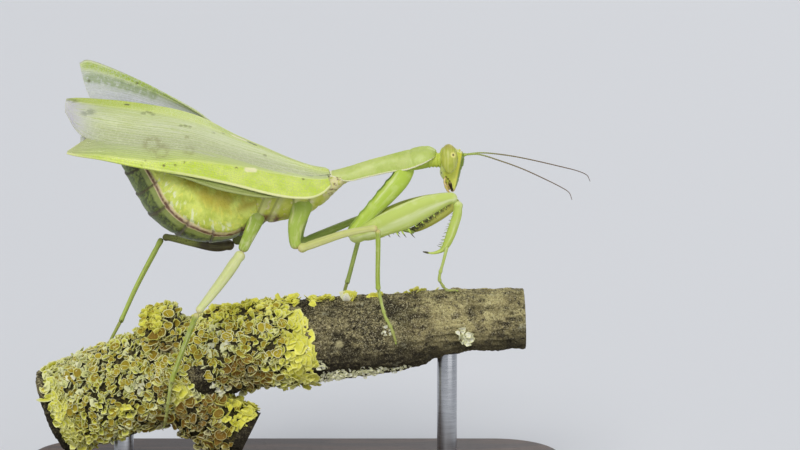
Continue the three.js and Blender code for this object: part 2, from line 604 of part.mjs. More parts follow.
/** Rows of spines down the lower edge of a fore femur, [share of its length, length]. */
const FEMUR_SPINES = [[0.3, 1.9], [0.4, 1.4], [0.51, 1.3], [0.63, 1.2], [0.78, 1.1]];
const TIBIA_SPINES = [[0.25, 0.6], [0.44, 0.8], [0.62, 1.1]];

/** Spines along a limb: lower is the way they point, lean tips them towards the far end. */
function spines(joints, rows, lower, lean, asides) {
  const curve = new THREE.CatmullRomCurve3(joints.map((joint) => joint[0]), false, "centripetal");
  const table = joints.map(([, radius, flat = 1], i) => [i / (joints.length - 1), radius, flat]);
  return asides.flatMap((aside) => rows.map(([u, length]) => {
    const forward = curve.getTangentAt(u);
    const [radius, flat] = row(table, curve.getUtoTmapping(u));
    const down = lower.clone().addScaledVector(forward, -lower.dot(forward)).normalize();
    const root = curve.getPointAt(u)
      .addScaledVector(down, radius * 0.8)
      .add(at(0, aside * radius * flat * 0.55, 0));
    const point = root.clone()
      .addScaledVector(down, length)
      .addScaledVector(forward, lean * length)
      .add(at(0, aside * length * 0.15, 0));
    return spine(root, point, 0.22);
  }));
}

/** One leg of four nodes, each cut clear of the one before it. */
function buildLeg(group, name, leg, { trunk, extras = {} }) {
  let before = trunk;
  for (const piece of ["coxa", "femur", "tibia", "tarsus"]) {
    const joints = leg[piece];
    const shape = { sides: extras[piece] ? 8 : 6, steps: joints.length > 5 ? 6 : 4 };
    const plain = piece === "tarsus" ? foot(joints) : limb(joints, shape);
    const whole = extras[piece] ? join(plain, ...extras[piece]) : plain;
    const ground = piece === "tarsus" ? [perch(CLEAR)] : [];
    add(group, `${name}_${piece}`, cut(whole, ...before, ...ground), GREEN);
    before = [limb(joints, { ...shape, grow: CLEAR })];
  }
}

// ---------------------------------------------------------------- the whole mantis
const SIDES = [[LEFT, "left"], [RIGHT, "right"]];
const mantis = new THREE.Group();

function buildTrunk() {
  const trunk = new THREE.Group();
  add(trunk, "pronotum", pronotumPlate(), GREEN);
  add(trunk, "forebody", cut(forebody(), thorax(CLEAR), pronotumPlate(CLEAR)), PALE_GREEN);
  add(trunk, "thorax", cut(thorax(), pronotumPlate(CLEAR)), PALE_GREEN);
  SEGMENT_ENDS.slice(1).forEach((end, i) => {
    const segment = abdomenSegment(SEGMENT_ENDS[i], end);
    add(trunk, `abdomen_${i + 1}`, i === 0 ? cut(segment, thorax(CLEAR)) : segment, BELLY);
  });
  for (const [side, name] of SIDES) {
    const cercus = limb([[at(-34.1, side * 1.1, 76.1), 0.4], [at(-35.4, side * 1.9, 76.6), 0.38],
      [at(-37.2, side * 2.3, 77), 0.26]], { sides: 5, steps: 2 });
    const clear = abdomenSegment(SEGMENT_ENDS.at(-2), 1);
    add(trunk, `cercus_${name}`, cut(cercus, clear), BELLY);
  }
  return trunk;
}

function buildHead() {
  const head = new THREE.Group();
  const eyes = SIDES.map(([side]) => eye(side, CLEAR));
  const capsule = cut(headCapsule(), ...eyes);
  add(head, "head", capsule, GREEN);
  for (const [side, name] of SIDES) {
    add(head, `eye_${name}`, eye(side), EYE);
    add(head, `antenna_${name}`, cut(feeler(side), headCapsule()), HORN);
  }
  add(head, "mouthparts", cut(mouthparts(), headCapsule()), MOUTH);
  const joints = [[at(26.4, 0, 72.5), 1.3, 0.9], [at(28.6, 0, 72.5), 1.5, 0.95], [at(30.9, 0, 72.4), 1.3, 0.95]];
  const neck = limb(joints, { sides: 10, steps: 2 });
  add(head, "neck", cut(neck, headCapsule(), pronotumPlate(CLEAR), forebody(CLEAR)), PALE_GREEN);
  return head;
}

function buildWings() {
  const wings = new THREE.Group();
  for (const [side, name] of SIDES) {
    add(wings, `forewing_${name}`, foldedWing(FOREWING[side]), WING);
  }
  add(wings, "hindwing_right", foldedWing(RIGHT_HINDWING), CLEAR_WING);
  add(wings, "hindwing_left", raisedWing(), CLEAR_WING);
  return wings;
}

function buildLegs() {
  const legs = new THREE.Group();
  const down = at(0.37, 0, -0.93);
  for (const [side, name] of SIDES) {
    const { femur, tibia } = FORELEGS[side];
    const inward = side === RIGHT ? at(-1, 0, 0) : at(0.4, 0, 1);
    const extras = {
      femur: spines(femur, FEMUR_SPINES, down, 0.5, [-1, 1]),
      tibia: spines(tibia, TIBIA_SPINES, inward, 0.6, [-1, 1]),
    };
    const shoulder = [forebody(CLEAR), pronotumPlate(CLEAR)];
    const chest = [thorax(CLEAR)];
    const hip = [thorax(CLEAR), abdomenSegment(0, SEGMENT_ENDS[1], CLEAR)];
    buildLeg(legs, `foreleg_${name}`, FORELEGS[side], { trunk: shoulder, extras });
    buildLeg(legs, `midleg_${name}`, MIDLEGS[side], { trunk: chest });
    buildLeg(legs, `hindleg_${name}`, HINDLEGS[side], { trunk: hip });
  }
  return legs;
}

mantis.add(buildTrunk(), buildHead(), buildWings(), buildLegs());
model.add(buildStand(), mantis);

export default model;
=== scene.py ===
# %% The frame
import math
import random

import bmesh
import bpy
from mathutils import Matrix, Vector, noise


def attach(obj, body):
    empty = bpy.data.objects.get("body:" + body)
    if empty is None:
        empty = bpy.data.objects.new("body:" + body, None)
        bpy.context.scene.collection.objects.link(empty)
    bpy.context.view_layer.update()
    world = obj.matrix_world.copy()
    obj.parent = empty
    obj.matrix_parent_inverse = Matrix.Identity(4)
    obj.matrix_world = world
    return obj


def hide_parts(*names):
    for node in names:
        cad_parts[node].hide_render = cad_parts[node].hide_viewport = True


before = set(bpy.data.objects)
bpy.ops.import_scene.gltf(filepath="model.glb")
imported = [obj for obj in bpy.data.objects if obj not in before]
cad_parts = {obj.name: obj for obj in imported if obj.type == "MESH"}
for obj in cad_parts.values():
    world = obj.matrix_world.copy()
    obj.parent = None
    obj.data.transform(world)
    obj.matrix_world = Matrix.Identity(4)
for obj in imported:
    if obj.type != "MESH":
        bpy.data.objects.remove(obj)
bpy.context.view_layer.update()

print("frame:", len(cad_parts), "nodes")

# %% [markdown]
# # A mantis on a lichened branch
# The frame holds the plain solids of a female giant Asian mantis, of the branch she walks on and of the stand
# that carries it. This lesson gives each of them its surface. The insect's skin is thin shell, so her plates are
# smooth forms with a few ridges, seams and spines, and the colour does the rest. The branch is the opposite: a
# rough skin of bark under hundreds of small crumpled lobes and cups.

# %% [markdown]
# ## Sizes
# A mantis is measured in millimetres and Blender counts in metres, so one helper makes a point from millimetres.
# Her body leans a little to her right, so its sections are turned about the length of the body: ACROSS points to
# her left side and UPRIGHT to her back.

# %% Sizes
MM = 0.001
LEAN = math.radians(10)
ACROSS = Vector((0, math.cos(LEAN), math.sin(LEAN)))
UPRIGHT = Vector((0, -math.sin(LEAN), math.cos(LEAN)))
LEFT, RIGHT = 1, -1
SIDES = {LEFT: "left", RIGHT: "right"}


def at(x, y, z):
    """A point, from millimetres."""
    return Vector((x, y, z)) * MM


def blend(a, b, share):
    """The value a share of the way from a to b."""
    return a + (b - a) * share


def ease(low, high, value):
    """0 below low, 1 above high, and a smooth rise between."""
    share = min(1, max(0, (value - low) / (high - low)))
    return share * share * (3 - 2 * share)


def bell(value, middle, width):
    """1 at the middle, falling off smoothly on both sides."""
    return math.exp(-(((value - middle) / width) ** 2))


# %% [markdown]
# ## Smooth tables
# A body changes its width all the way along, and a short table of measured stations is the plainest way to say
# how. A cubic curve through the rows keeps the skin free of corners. A limb is the same thing along a bent path,
# so its table also holds the path's points.

# %% Smooth tables
def row(table, key):
    """The values of a table at a key, by a smooth curve through its rows of (key, value, ...)."""
    last = len(table) - 1
    rising = table[last][0] > table[0][0]
    past = (i for i, r in enumerate(table) if (r[0] >= key if rising else r[0] <= key))
    hi = max(1, next(past, last))
    lo = hi - 1
    width = table[hi][0] - table[lo][0]
    u = (key - table[lo][0]) / width

    def slope(i, k):
        a, b = table[max(0, i - 1)], table[min(last, i + 1)]
        return (b[k] - a[k]) / (b[0] - a[0])

    values = []
    for k in range(1, len(table[0])):
        rise = table[hi][k] - table[lo][k]
        start, end = slope(lo, k) * width, slope(hi, k) * width
        values.append(table[lo][k] + u * start + u * u * (3 * rise - 2 * start - end + u * (start + end - 2 * rise)))
    return values


class Run:
    """A smooth path through joints, each (point, radius) or (point, radius, width over height)."""

    def __init__(self, joints, across=ACROSS):
        self.across = across
        self.table = []
        self.length = 0
        for i, (point, radius, *flat) in enumerate(joints):
            if i:
                self.length += (point - joints[i - 1][0]).length
            self.table.append((self.length, *point, radius * MM, flat[0] if flat else 1))

    def place(self, share):
        """Centre, side, up, ahead, half-width and half-height at a share of the length."""
        reach = 0.002
        here = row(self.table, share * self.length)
        back = row(self.table, max(0, share - reach) * self.length)
        on = row(self.table, min(1, share + reach) * self.length)
        ahead = (Vector(on[:3]) - Vector(back[:3])).normalized()
        up = ahead.cross(self.across).normalized()
        radius, flat = here[3:]
        return Vector(here[:3]), up.cross(ahead), up, ahead, radius * flat, radius


# %% [markdown]
# ## Wrapping a grid
# Nearly every form here is a tube or a thin leaf with closed edges. Bridging loop after loop would work, but a
# grid that is wrapped round the form is simpler: one operator makes it, a function says where each of its points
# goes, and welding the points that fall together closes the seam and the poles. The grid's own two directions
# stay on the skin as a UV map, so that a finish can follow the form.

# %% Wrapping a grid
WELD = 1e-6
WRAP_MAP = "Wrap"


def wrap(bm, along, around, place, mark=None, values=None):
    """Adds a grid whose point at shares (u, t) goes to place(u, t), with mark(u, t) as its UV."""
    uv = bm.loops.layers.uv.get(WRAP_MAP) or bm.loops.layers.uv.new(WRAP_MAP)
    floats = bm.verts.layers.float
    for name in values or {}:
        floats.get(name) or floats.new(name)
    layers = [(floats.get(name), value) for name, value in (values or {}).items()]
    made = bmesh.ops.create_grid(bm, x_segments=along, y_segments=around, size=0.5)["verts"]
    spots = {v: (v.co.x + 0.5, v.co.y + 0.5) for v in made}
    for vert in made:
        for loop in vert.link_loops:
            loop[uv].uv = mark(*spots[vert]) if mark else spots[vert]
        for layer, value in layers:
            vert[layer] = value(*spots[vert]) if callable(value) else value
    for vert in made:
        vert.co = place(*spots[vert])
    bmesh.ops.remove_doubles(bm, verts=made, dist=WELD)


def piece(name, bm, finish, slot, *nodes, smooth=True):
    """Makes the mesh an object that rides on the frame and stands for the named nodes."""
    bmesh.ops.dissolve_degenerate(bm, dist=WELD, edges=bm.edges)
    bmesh.ops.recalc_face_normals(bm, faces=bm.faces)
    mesh = bpy.data.meshes.new(name)
    bm.to_mesh(mesh)
    bm.free()
    mesh.polygons.foreach_set("use_smooth", [smooth] * len(mesh.polygons))
    mesh.materials.append(finish)
    made = bpy.data.objects.new(name, mesh)
    bpy.context.collection.objects.link(made)
    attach(made, "root")
    if nodes:
        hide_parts(*nodes)
    print(f"{name}: {sum(len(p.vertices) - 2 for p in mesh.polygons)} triangles")
    return made

# %% [markdown]
# ## A small language for finishes
# A finish is mostly sums: a stripe times a speckle plus a stain. Written as nodes these sums are hard to read,
# so a Signal wraps a socket and lets Python's own operators add the Math nodes. A Finish owns the material and
# adds every other node through one method.

# %% A small language for finishes
def tone(red, green, blue):
    """A colour for the shader, from the 0 to 255 of a paint chart."""
    def linear(part):
        share = part / 255
        return share / 12.92 if share <= 0.04045 else ((share + 0.055) / 1.055) ** 2.4
    return (linear(red), linear(green), linear(blue), 1)


class Signal:
    """A socket's number, with arithmetic that adds Math nodes."""

    def __init__(self, finish, socket):
        self.finish = finish
        self.socket = socket

    def maths(self, operation, *others):
        settings = {"operation": operation}
        return self.finish.node("ShaderNodeMath", settings, dict(enumerate((self, *others))))[0]

    def __add__(self, other):
        return self.maths("ADD", other)

    def __sub__(self, other):
        return self.maths("SUBTRACT", other)

    def __rsub__(self, other):
        return self.maths("MULTIPLY", -1.0).maths("ADD", other)

    def __mul__(self, other):
        return self.maths("MULTIPLY", other)

    def __truediv__(self, other):
        return self.maths("DIVIDE", other)

    def __abs__(self):
        return self.maths("ABSOLUTE")

    __radd__ = __add__
    __rmul__ = __mul__

    def step(self, low, high):
        """0 below low and 1 above high, or the other way round where high is the smaller."""
        flip = low > high
        values = {"Value": self, "From Min": min(low, high), "From Max": max(low, high)}
        if flip:
            values |= {"To Min": 1.0, "To Max": 0.0}
        return self.finish.node("ShaderNodeMapRange", {"interpolation_type": "SMOOTHSTEP"}, values)["Result"]

    def band(self, middle, width, soft=0.5):
        """1 within width of middle, with edges as soft as that share of the width."""
        return abs(self - middle).step(width * (1 + soft), width * (1 - soft))


class Finish:
    """A material, and the nodes that make it."""

    def __init__(self, name):
        self.material = bpy.data.materials.new(name)
        self.material.use_nodes = True
        self.tree = self.material.node_tree
        self.tree.nodes.clear()

    def node(self, kind, settings=None, values=None):
        """Adds a node and gives its outputs. Stops for a ramp come as [(place, colour), ...]."""
        made = self.tree.nodes.new(kind)
        for name, value in (settings or {}).items():
            if name == "stops":
                elements = made.color_ramp.elements
                while len(elements) < len(value):
                    elements.new(1.0)
                for element, (place, colour) in zip(elements, value):
                    element.position = place
                    element.color = colour
            else:
                setattr(made, name, value)
        for key, value in (values or {}).items():
            if isinstance(value, Signal):
                self.tree.links.new(value.socket, made.inputs[key])
            else:
                made.inputs[key].default_value = value
        return Outputs(self, made)

    def place(self):
        """Where the point is in the frame, in metres."""
        return self.node("ShaderNodeTexCoord")["Object"]

    def wrapped(self):
        """The two directions of the wrapped grid."""
        both = self.node("ShaderNodeSeparateXYZ", None, {0: self.node("ShaderNodeUVMap", {"uv_map": WRAP_MAP})[0]})
        return both[0], both[1]

    def axes(self):
        """The point's X, Y and Z, in millimetres."""
        apart = self.node("ShaderNodeSeparateXYZ", None, {0: self.place()})
        return [apart[i] * 1000.0 for i in range(3)]

    def value(self, name):
        """A number stored on the points of the mesh."""
        return self.node("ShaderNodeAttribute", {"attribute_name": name})["Fac"]

    def vector(self, x, y, z=0.0):
        """A vector from three numbers, to stretch a pattern."""
        return self.node("ShaderNodeCombineXYZ", None, {0: x, 1: y, 2: z})[0]

    def noise(self, size, detail=3.0, rough=0.5, twist=0.0, vector=None):
        """Cloudy noise with clouds of a size in millimetres, or per unit of the vector given."""
        scale = 1 / size if vector else 1000 / size
        values = {"Vector": vector or self.place(), "Scale": scale, "Detail": detail, "Roughness": rough,
                  "Distortion": twist}
        return self.node("ShaderNodeTexNoise", None, values)["Fac"]

    def cells(self, size, feature="F1", vector=None, output="Distance"):
        """Distance to scattered points, or to the edges between their cells."""
        scale = 1 / size if vector else 1000 / size
        values = {"Vector": vector or self.place(), "Scale": scale}
        return self.node("ShaderNodeTexVoronoi", {"feature": feature}, values)[output]

    def spots(self, centres, radius, soft=0.4):
        """1 within radius of any of the points, all in millimetres."""
        total = None
        for centre in centres:
            values = {0: self.place(), 1: Vector(centre) * MM}
            far = self.node("ShaderNodeVectorMath", {"operation": "DISTANCE"}, values)["Value"] * 1000.0
            spot = far.step(radius * (1 + soft), radius * (1 - soft))
            total = spot if total is None else total.maths("MAXIMUM", spot)
        return total

    def mix(self, share, first, second, mode="MIX"):
        """The first colour where share is 0 and the second where it is 1."""
        settings = {"data_type": "RGBA", "blend_type": mode}
        return self.node("ShaderNodeMix", settings, {0: share, 6: first, 7: second})[2]

    def ramp(self, share, *stops):
        """A colour from a run of stops."""
        return self.node("ShaderNodeValToRGB", {"stops": stops}, {"Fac": share})["Color"]

    def bump(self, height, depth):
        """A normal from a height of 0 to 1 that stands for a depth in millimetres."""
        return self.node("ShaderNodeBump", None, {"Height": height, "Distance": depth * MM, "Strength": 1.0})[0]

    def surface(self, values):
        """Ends the material in a Principled shader."""
        shader = self.node("ShaderNodeBsdfPrincipled", None, values)
        self.node("ShaderNodeOutputMaterial", None, {"Surface": shader[0]})
        return self.material


class Outputs:
    """A node's outputs, by name or number."""

    def __init__(self, finish, made):
        self.finish = finish
        self.made = made

    def __getitem__(self, key):
        return Signal(self.finish, self.made.outputs[key])

# %% [markdown]
# ## Abdomen
# A mantis heavy with eggs carries her abdomen like a sack: soft yellow-green sides, a row of tough darker plates
# below, and between them a fold where the skin has stretched, edged in brown and cream. Sculpting it freely would
# lose the order of its rings, so one tube is wrapped along its curved axis, and seams, fold and swelling are
# added to its radius. The second UV direction is counted from the fold, which lets the finish paint its stripes.

# %% Abdomen
ABDOMEN_WIDTH = 0.87
ABDOMEN = Run([
    (at(-5.2, 0, 65.9), 4.1, ABDOMEN_WIDTH), (at(-6.6, 0, 65.7), 4.6, ABDOMEN_WIDTH),
    (at(-8.8, 0, 65), 5.6, ABDOMEN_WIDTH), (at(-11.6, 0, 64.3), 7.3, ABDOMEN_WIDTH),
    (at(-15, 0, 64.1), 8.15, ABDOMEN_WIDTH), (at(-18.7, 0, 64.6), 8.15, ABDOMEN_WIDTH),
    (at(-22.2, 0, 66.3), 7.65, ABDOMEN_WIDTH), (at(-25.6, 0, 69.2), 6.4, ABDOMEN_WIDTH),
    (at(-28.3, 0, 71.5), 5, ABDOMEN_WIDTH), (at(-31, 0, 73.8), 3.5, ABDOMEN_WIDTH),
    (at(-33.2, 0, 75.6), 2.1, ABDOMEN_WIDTH), (at(-34.9, 0, 76.9), 0.8, ABDOMEN_WIDTH),
])
SEAMS = (0.165, 0.285, 0.4, 0.52, 0.645, 0.765, 0.875)
SEAM_SLANT = 0.0006
# Share of the length, and how far the fold lies below the middle of the side, in degrees.
FOLD = [(0, 58), (0.2, 45), (0.3, 33), (0.37, 24), (0.52, 11.5), (0.66, -1), (0.8, -13), (1, -22)]
ABDOMEN_RINGS, ABDOMEN_SIDES = 260, 120
abdomen_frames = [ABDOMEN.place(i / ABDOMEN_RINGS) for i in range(ABDOMEN_RINGS + 1)]
abdomen_fold = [row(FOLD, i / ABDOMEN_RINGS)[0] for i in range(ABDOMEN_RINGS + 1)]


def below(t):
    """How many degrees a point of the section lies below the middle of the side; t = 0.25 is the top."""
    return -math.degrees(math.asin(math.sin(2 * math.pi * t)))


def since_seam(u):
    """How far behind the last seam, and ahead of the next one, as shares of the length."""
    return min((u - s for s in SEAMS if u >= s), default=1), min((s - u for s in SEAMS if s > u), default=1)


def abdomen_point(u, t):
    centre, side, under, ahead, half, radius = abdomen_frames[round(u * ABDOMEN_RINGS)]
    low = below(t) - abdomen_fold[round(u * ABDOMEN_RINGS)]
    past, coming = since_seam(u - SEAM_SLANT * max(0, low))
    belly = ease(-4, 6, low)
    lip = (0.03 + 0.17 * belly) * bell(coming, 0, 0.018) - (0.06 + 0.12 * belly) * bell(past, 0.004, 0.007)
    swell = 0.14 * math.sin(math.pi * min(1, past / max(1e-6, past + coming))) * (1 - 0.6 * belly)
    fold = -0.34 * bell(low, -2.5, 2.6) + 0.2 * bell(low, 3.5, 2.6) + 0.1 * bell(low, -9, 3)
    spot = centre * 900 + side * 3 * math.cos(2 * math.pi * t) - under * 3 * math.sin(2 * math.pi * t)
    crumple = 0.13 * (1 - belly) * noise.noise(spot * 0.9) + 0.05 * noise.noise(spot * 2.3)
    keel = 0.12 * bell(low, 90 - abdomen_fold[round(u * ABDOMEN_RINGS)], 9) * belly
    fade = min(1, radius / (3 * MM))
    grown = (lip + swell + fold + crumple + keel) * MM * fade
    end = math.sqrt(max(0, 1 - max(0, (u - 0.975) / 0.025) ** 2))
    angle = 2 * math.pi * t
    around = side * (half + grown) * math.cos(angle) - under * (radius + grown) * math.sin(angle)
    return centre + around * end


def abdomen_mark(u, t):
    """Along the body, and round it from the fold: 0.5 is the fold and more is below it."""
    return u, 0.5 + (below(t) - abdomen_fold[round(u * ABDOMEN_RINGS)]) / 180


def cercus(bm, side):
    """One of the two short feelers at the tip, of many small beads."""
    run = Run([(at(-33.9, side * 1, 76.0), 0.4), (at(-35.4, side * 1.85, 76.6), 0.4), (at(-37.1, side * 2.25, 77), 0.16)])
    beads = 7

    def place(u, t):
        centre, aside, up, ahead, half, radius = run.place(u)
        grown = radius * (0.82 + 0.3 * abs(math.sin(math.pi * beads * u))) * min(1, 6 * (1 - u)) ** 0.5
        return centre + (aside * math.cos(2 * math.pi * t) + up * math.sin(2 * math.pi * t)) * grown

    wrap(bm, 56, 12, place, lambda u, t: (0.9, 0.3))


def abdomen_finish():
    f = Finish("abdomen")
    u, v = f.wrapped()
    belly = v.step(0.5, 0.525)
    cloud = f.noise(2.4, 4, 0.55)
    fine = f.noise(0.5, 3, 0.6)
    grain = f.cells(0.32)
    stretched = f.noise(1.0, 3, 0.5, vector=f.vector(u * 60.0, v * 16.0))
    side = f.mix(cloud.step(0.36, 0.64), tone(190, 204, 82), tone(220, 230, 114))
    side = f.mix(stretched.step(0.5, 0.68) * 0.6, side, tone(240, 238, 108))
    side = f.mix(grain.step(0.16, 0.04) * fine.step(0.45, 0.6) * 0.5, side, tone(246, 246, 176))
    shade = v.step(0.33, 0.22) * f.noise(3.2, 2, 0.5).step(0.3, 0.6)
    side = f.mix(shade * 0.75, side, tone(180, 162, 38))
    pale = f.noise(1.0, 2, 0.5, vector=f.vector(u * 40.0, v * 9.0)).step(0.54, 0.64) * v.step(0.34, 0.4)
    side = f.mix(pale * 0.85, side, tone(236, 240, 196))
    seam = f.node("ShaderNodeValToRGB", {"stops": seam_stops()}, {"Fac": u - (v - 0.5).maths("MAXIMUM", 0.0) * (180 * SEAM_SLANT)})["Color"]
    under = f.mix(cloud.step(0.35, 0.65), tone(78, 92, 38), tone(122, 136, 60))
    under = f.mix(fine.step(0.52, 0.7) * 0.5, under, tone(150, 162, 90))
    under = f.mix(stretched.step(0.56, 0.4) * 0.75, under, tone(46, 52, 26))
    under = f.mix(v.step(0.66, 0.9) * 0.45, under, tone(138, 158, 92))
    under = f.mix(v.band(0.565, 0.035) * 0.75, under, tone(158, 170, 92))
    both = f.mix(belly, side, under)
    both = f.mix(seam * belly * 0.75, both, tone(70, 56, 34))
    ticks = seam * v.band(0.512, 0.034)
    cream = v.band(0.494, 0.007, 0.5).maths("MAXIMUM", v.band(0.533, 0.007, 0.5))
    thick = f.noise(1.0, 2, 0.5, vector=f.vector(u * 26.0, 0.0)).step(0.4, 0.62)
    brown = abs(v - 0.5135).step(0.016, 0.006) * (thick * 0.75 + 0.3) + abs(v - 0.5135).step(0.006, 0.002) * 0.35
    both = f.mix(cream * 0.85, both, tone(222, 206, 150))
    both = f.mix(v.band(0.5135, 0.018, 0.4) * 0.7, both, tone(190, 164, 140))
    both = f.mix(brown.maths("MINIMUM", 1.0) * 0.9, both, tone(104, 66, 48))
    both = f.mix(ticks * 0.6, both, tone(80, 54, 36))
    height = grain.step(0.5, 0.1) * 0.35 + fine * 0.4 + stretched * (1 - belly) * 0.5
    return f.surface({
        "Base Color": both, "Roughness": fine * 0.2 + 0.36, "Normal": f.bump(height, 0.12),
        "Subsurface Weight": 0.18, "Subsurface Radius": (0.9, 0.8, 0.25), "Subsurface Scale": 0.0012,
        "Coat Weight": 0.08, "Specular IOR Level": 0.42,
    })


def seam_stops():
    """White where a seam crosses the length, black between."""
    white, black, half = (1, 1, 1, 1), (0, 0, 0, 1), 0.0045
    stops = [(0, black)]
    for seam in SEAMS:
        stops += [(seam - 2 * half, black), (seam - half * 0.6, white), (seam + half * 0.6, white), (seam + 2 * half, black)]
    return stops


bm = bmesh.new()
wrap(bm, ABDOMEN_RINGS, ABDOMEN_SIDES, abdomen_point, abdomen_mark)
for side in SIDES:
    cercus(bm, side)
piece("abdomen_skin", bm, abdomen_finish(), "abdomen", *(f"abdomen_{i}" for i in range(1, 8)),
      "cercus_left", "cercus_right")

# %% [markdown]
# ## Thorax and neck
# The part that carries the wings and four of the legs is a box of plates with sutures between them. It is a
# second tube, wrapped from the waist forward under the shield to the neck. Its sutures are shallow valleys that
# slant with the legs, and the neck is a soft bellows of small rings.

# %% Thorax and neck
# Place along the body, height of the axis, half-width, half-height.
THORAX = [
    (-7.4, 65.6, 3.8, 4.2), (-6.5, 65.5, 4.1, 4.8), (-4.2, 65.1, 4.4, 5.2), (-1.2, 65.2, 4.4, 4.75),
    (2.6, 65.4, 4.1, 4.0), (5.2, 65.9, 3.6, 3.15), (7.2, 66.7, 3.0, 2.45), (9, 67.9, 2.2, 1.9), (11, 69.1, 1.75, 1.35),
    (13.5, 69.95, 1.45, 1.05), (17, 71.0, 1.3, 1.1), (20, 71.75, 1.35, 1.2), (22.5, 72.0, 1.8, 1.5),
    (25.2, 72.4, 2.2, 1.95), (27.2, 72.65, 1.8, 1.75), (28.6, 72.6, 1.5, 1.5), (30.6, 72.4, 1.3, 1.35),
    (31.4, 72.4, 1.1, 1.1),
]
THORAX_RINGS, THORAX_SIDES = 230, 72
SUTURES = ((-4.9, 0.45), (-2.1, 0.5), (0.9, -0.1), (4.1, 0.3), (6.7, 0.35))


def thorax_point(u, t):
    x = blend(THORAX[0][0], THORAX[-1][0], u)
    z, half, tall = row(THORAX, x)
    across, up = math.cos(2 * math.pi * t), math.sin(2 * math.pi * t)
    grown = 0
    for middle, slant in SUTURES:
        grown -= 0.2 * bell(x, middle + slant * up * tall, 0.24)
    grown += 0.28 * bell(x, 2.4, 1.5) * bell(up, -0.4, 0.4) + 0.26 * bell(x, -6.0, 1.2) * bell(up, -0.4, 0.4)
    if 7 < x < 12:
        grown += 0.04 * math.sin(x * 7.5)
    if x > 27.4:
        grown += 0.1 * math.sin(x * 9.5)
    spot = Vector((x, across * half, up * tall))
    grown += 0.12 * noise.noise(spot * 0.6) + 0.03 * noise.noise(spot * 2.2)
    end = math.sqrt(max(0, 1 - abs(2 * u - 1) ** 60))
    middle = at(x, 0, z)
    return middle + (ACROSS * (half + grown) * across + UPRIGHT * (tall + grown) * up) * MM * end


def thorax_finish():
    f = Finish("thorax")
    x, y, z = f.axes()
    cloud = f.noise(2.0, 4, 0.55)
    fine = f.noise(0.4, 3, 0.6)
    skin = f.mix(cloud.step(0.35, 0.65), tone(190, 197, 66), tone(214, 217, 104))
    skin = f.mix(x.step(11.5, 6.5) * f.noise(1.1, 3, 0.6).step(0.52, 0.66) * 0.8, skin, tone(222, 210, 166))
    flank = x.band(-4.6, 3.6, 0.4) * (z - 61.2).step(1.4, 0.2)
    skin = f.mix(flank * cloud.step(0.36, 0.5) * 0.95, skin, tone(118, 84, 62))
    for middle, slant in SUTURES[:4]:
        beyond = x - (z - 65.3) * slant - middle
        skin = f.mix(beyond.band(0.7, 0.6, 0.8) * 0.45, skin, tone(226, 228, 168))
        skin = f.mix(abs(beyond).step(0.4, 0.1) * 0.55, skin, tone(138, 140, 76))
    collar = x.band(9.2, 2.0, 0.4)
    skin = f.mix(collar * f.noise(0.8, 3, 0.6).step(0.34, 0.5) * 0.8, skin, tone(226, 216, 170))
    folds = f.noise(1.0, 3, 0.6, vector=f.vector(x * 0.8, y * 0.8, z * 1.8))
    skin = f.mix(x.band(9.8, 2.2, 0.4) * folds.step(0.56, 0.65) * 0.8, skin, tone(112, 84, 58))
    skin = f.mix(x.step(12.0, 16.0) * 0.7, skin, tone(168, 194, 74))
    skin = f.mix(x.step(27.2, 28.4) * 0.85, skin, tone(204, 218, 84))
    return f.surface({
        "Base Color": skin, "Roughness": fine * 0.25 + 0.38, "Normal": f.bump(fine * 0.6 + cloud * 0.4, 0.14),
        "Subsurface Weight": 0.18, "Subsurface Radius": (0.8, 0.8, 0.3), "Subsurface Scale": 0.0012,
        "Specular IOR Level": 0.42,
    })


bm = bmesh.new()
wrap(bm, THORAX_RINGS, THORAX_SIDES, thorax_point)
piece("thorax_skin", bm, thorax_finish(), "body_pale", "thorax", "forebody", "neck")

# %% [markdown]
# ## Shield
# The pronotum is a saddle of hard shell over the long forebody: narrow at the waist, widest where the forelegs
# are hung, with a groove across there, a low keel along its back and a rim of tiny teeth with a cream edge. It is
# a closed shell, so the grid is wrapped over the outside and back along the inside.

# %% Shield
# Place along the body, height of the ridge, half-width, height of the arch.
SHIELD = [
    (7.4, 70, 0.55, 0.4), (8.2, 70.25, 1.25, 0.85), (9.6, 70.55, 1.9, 1.5), (11.8, 71.1, 2.4, 2.3),
    (15.6, 72.3, 2.05, 2.8), (20.6, 73.65, 2.05, 3.1), (23.3, 74.35, 2.9, 3.2), (25.9, 75.05, 3.3, 2.85),
    (27.8, 75.1, 2.8, 2.05), (28.9, 74.6, 1.8, 1.0), (29.25, 74.25, 0.7, 0.6),
]
SHIELD_RINGS, SHIELD_SIDES = 240, 96
SHIELD_THICKNESS = 0.42
GROOVE_AT = 23.9
shield_rows = [row(SHIELD, blend(SHIELD[0][0], SHIELD[-1][0], i / SHIELD_RINGS)) for i in range(SHIELD_RINGS + 1)]


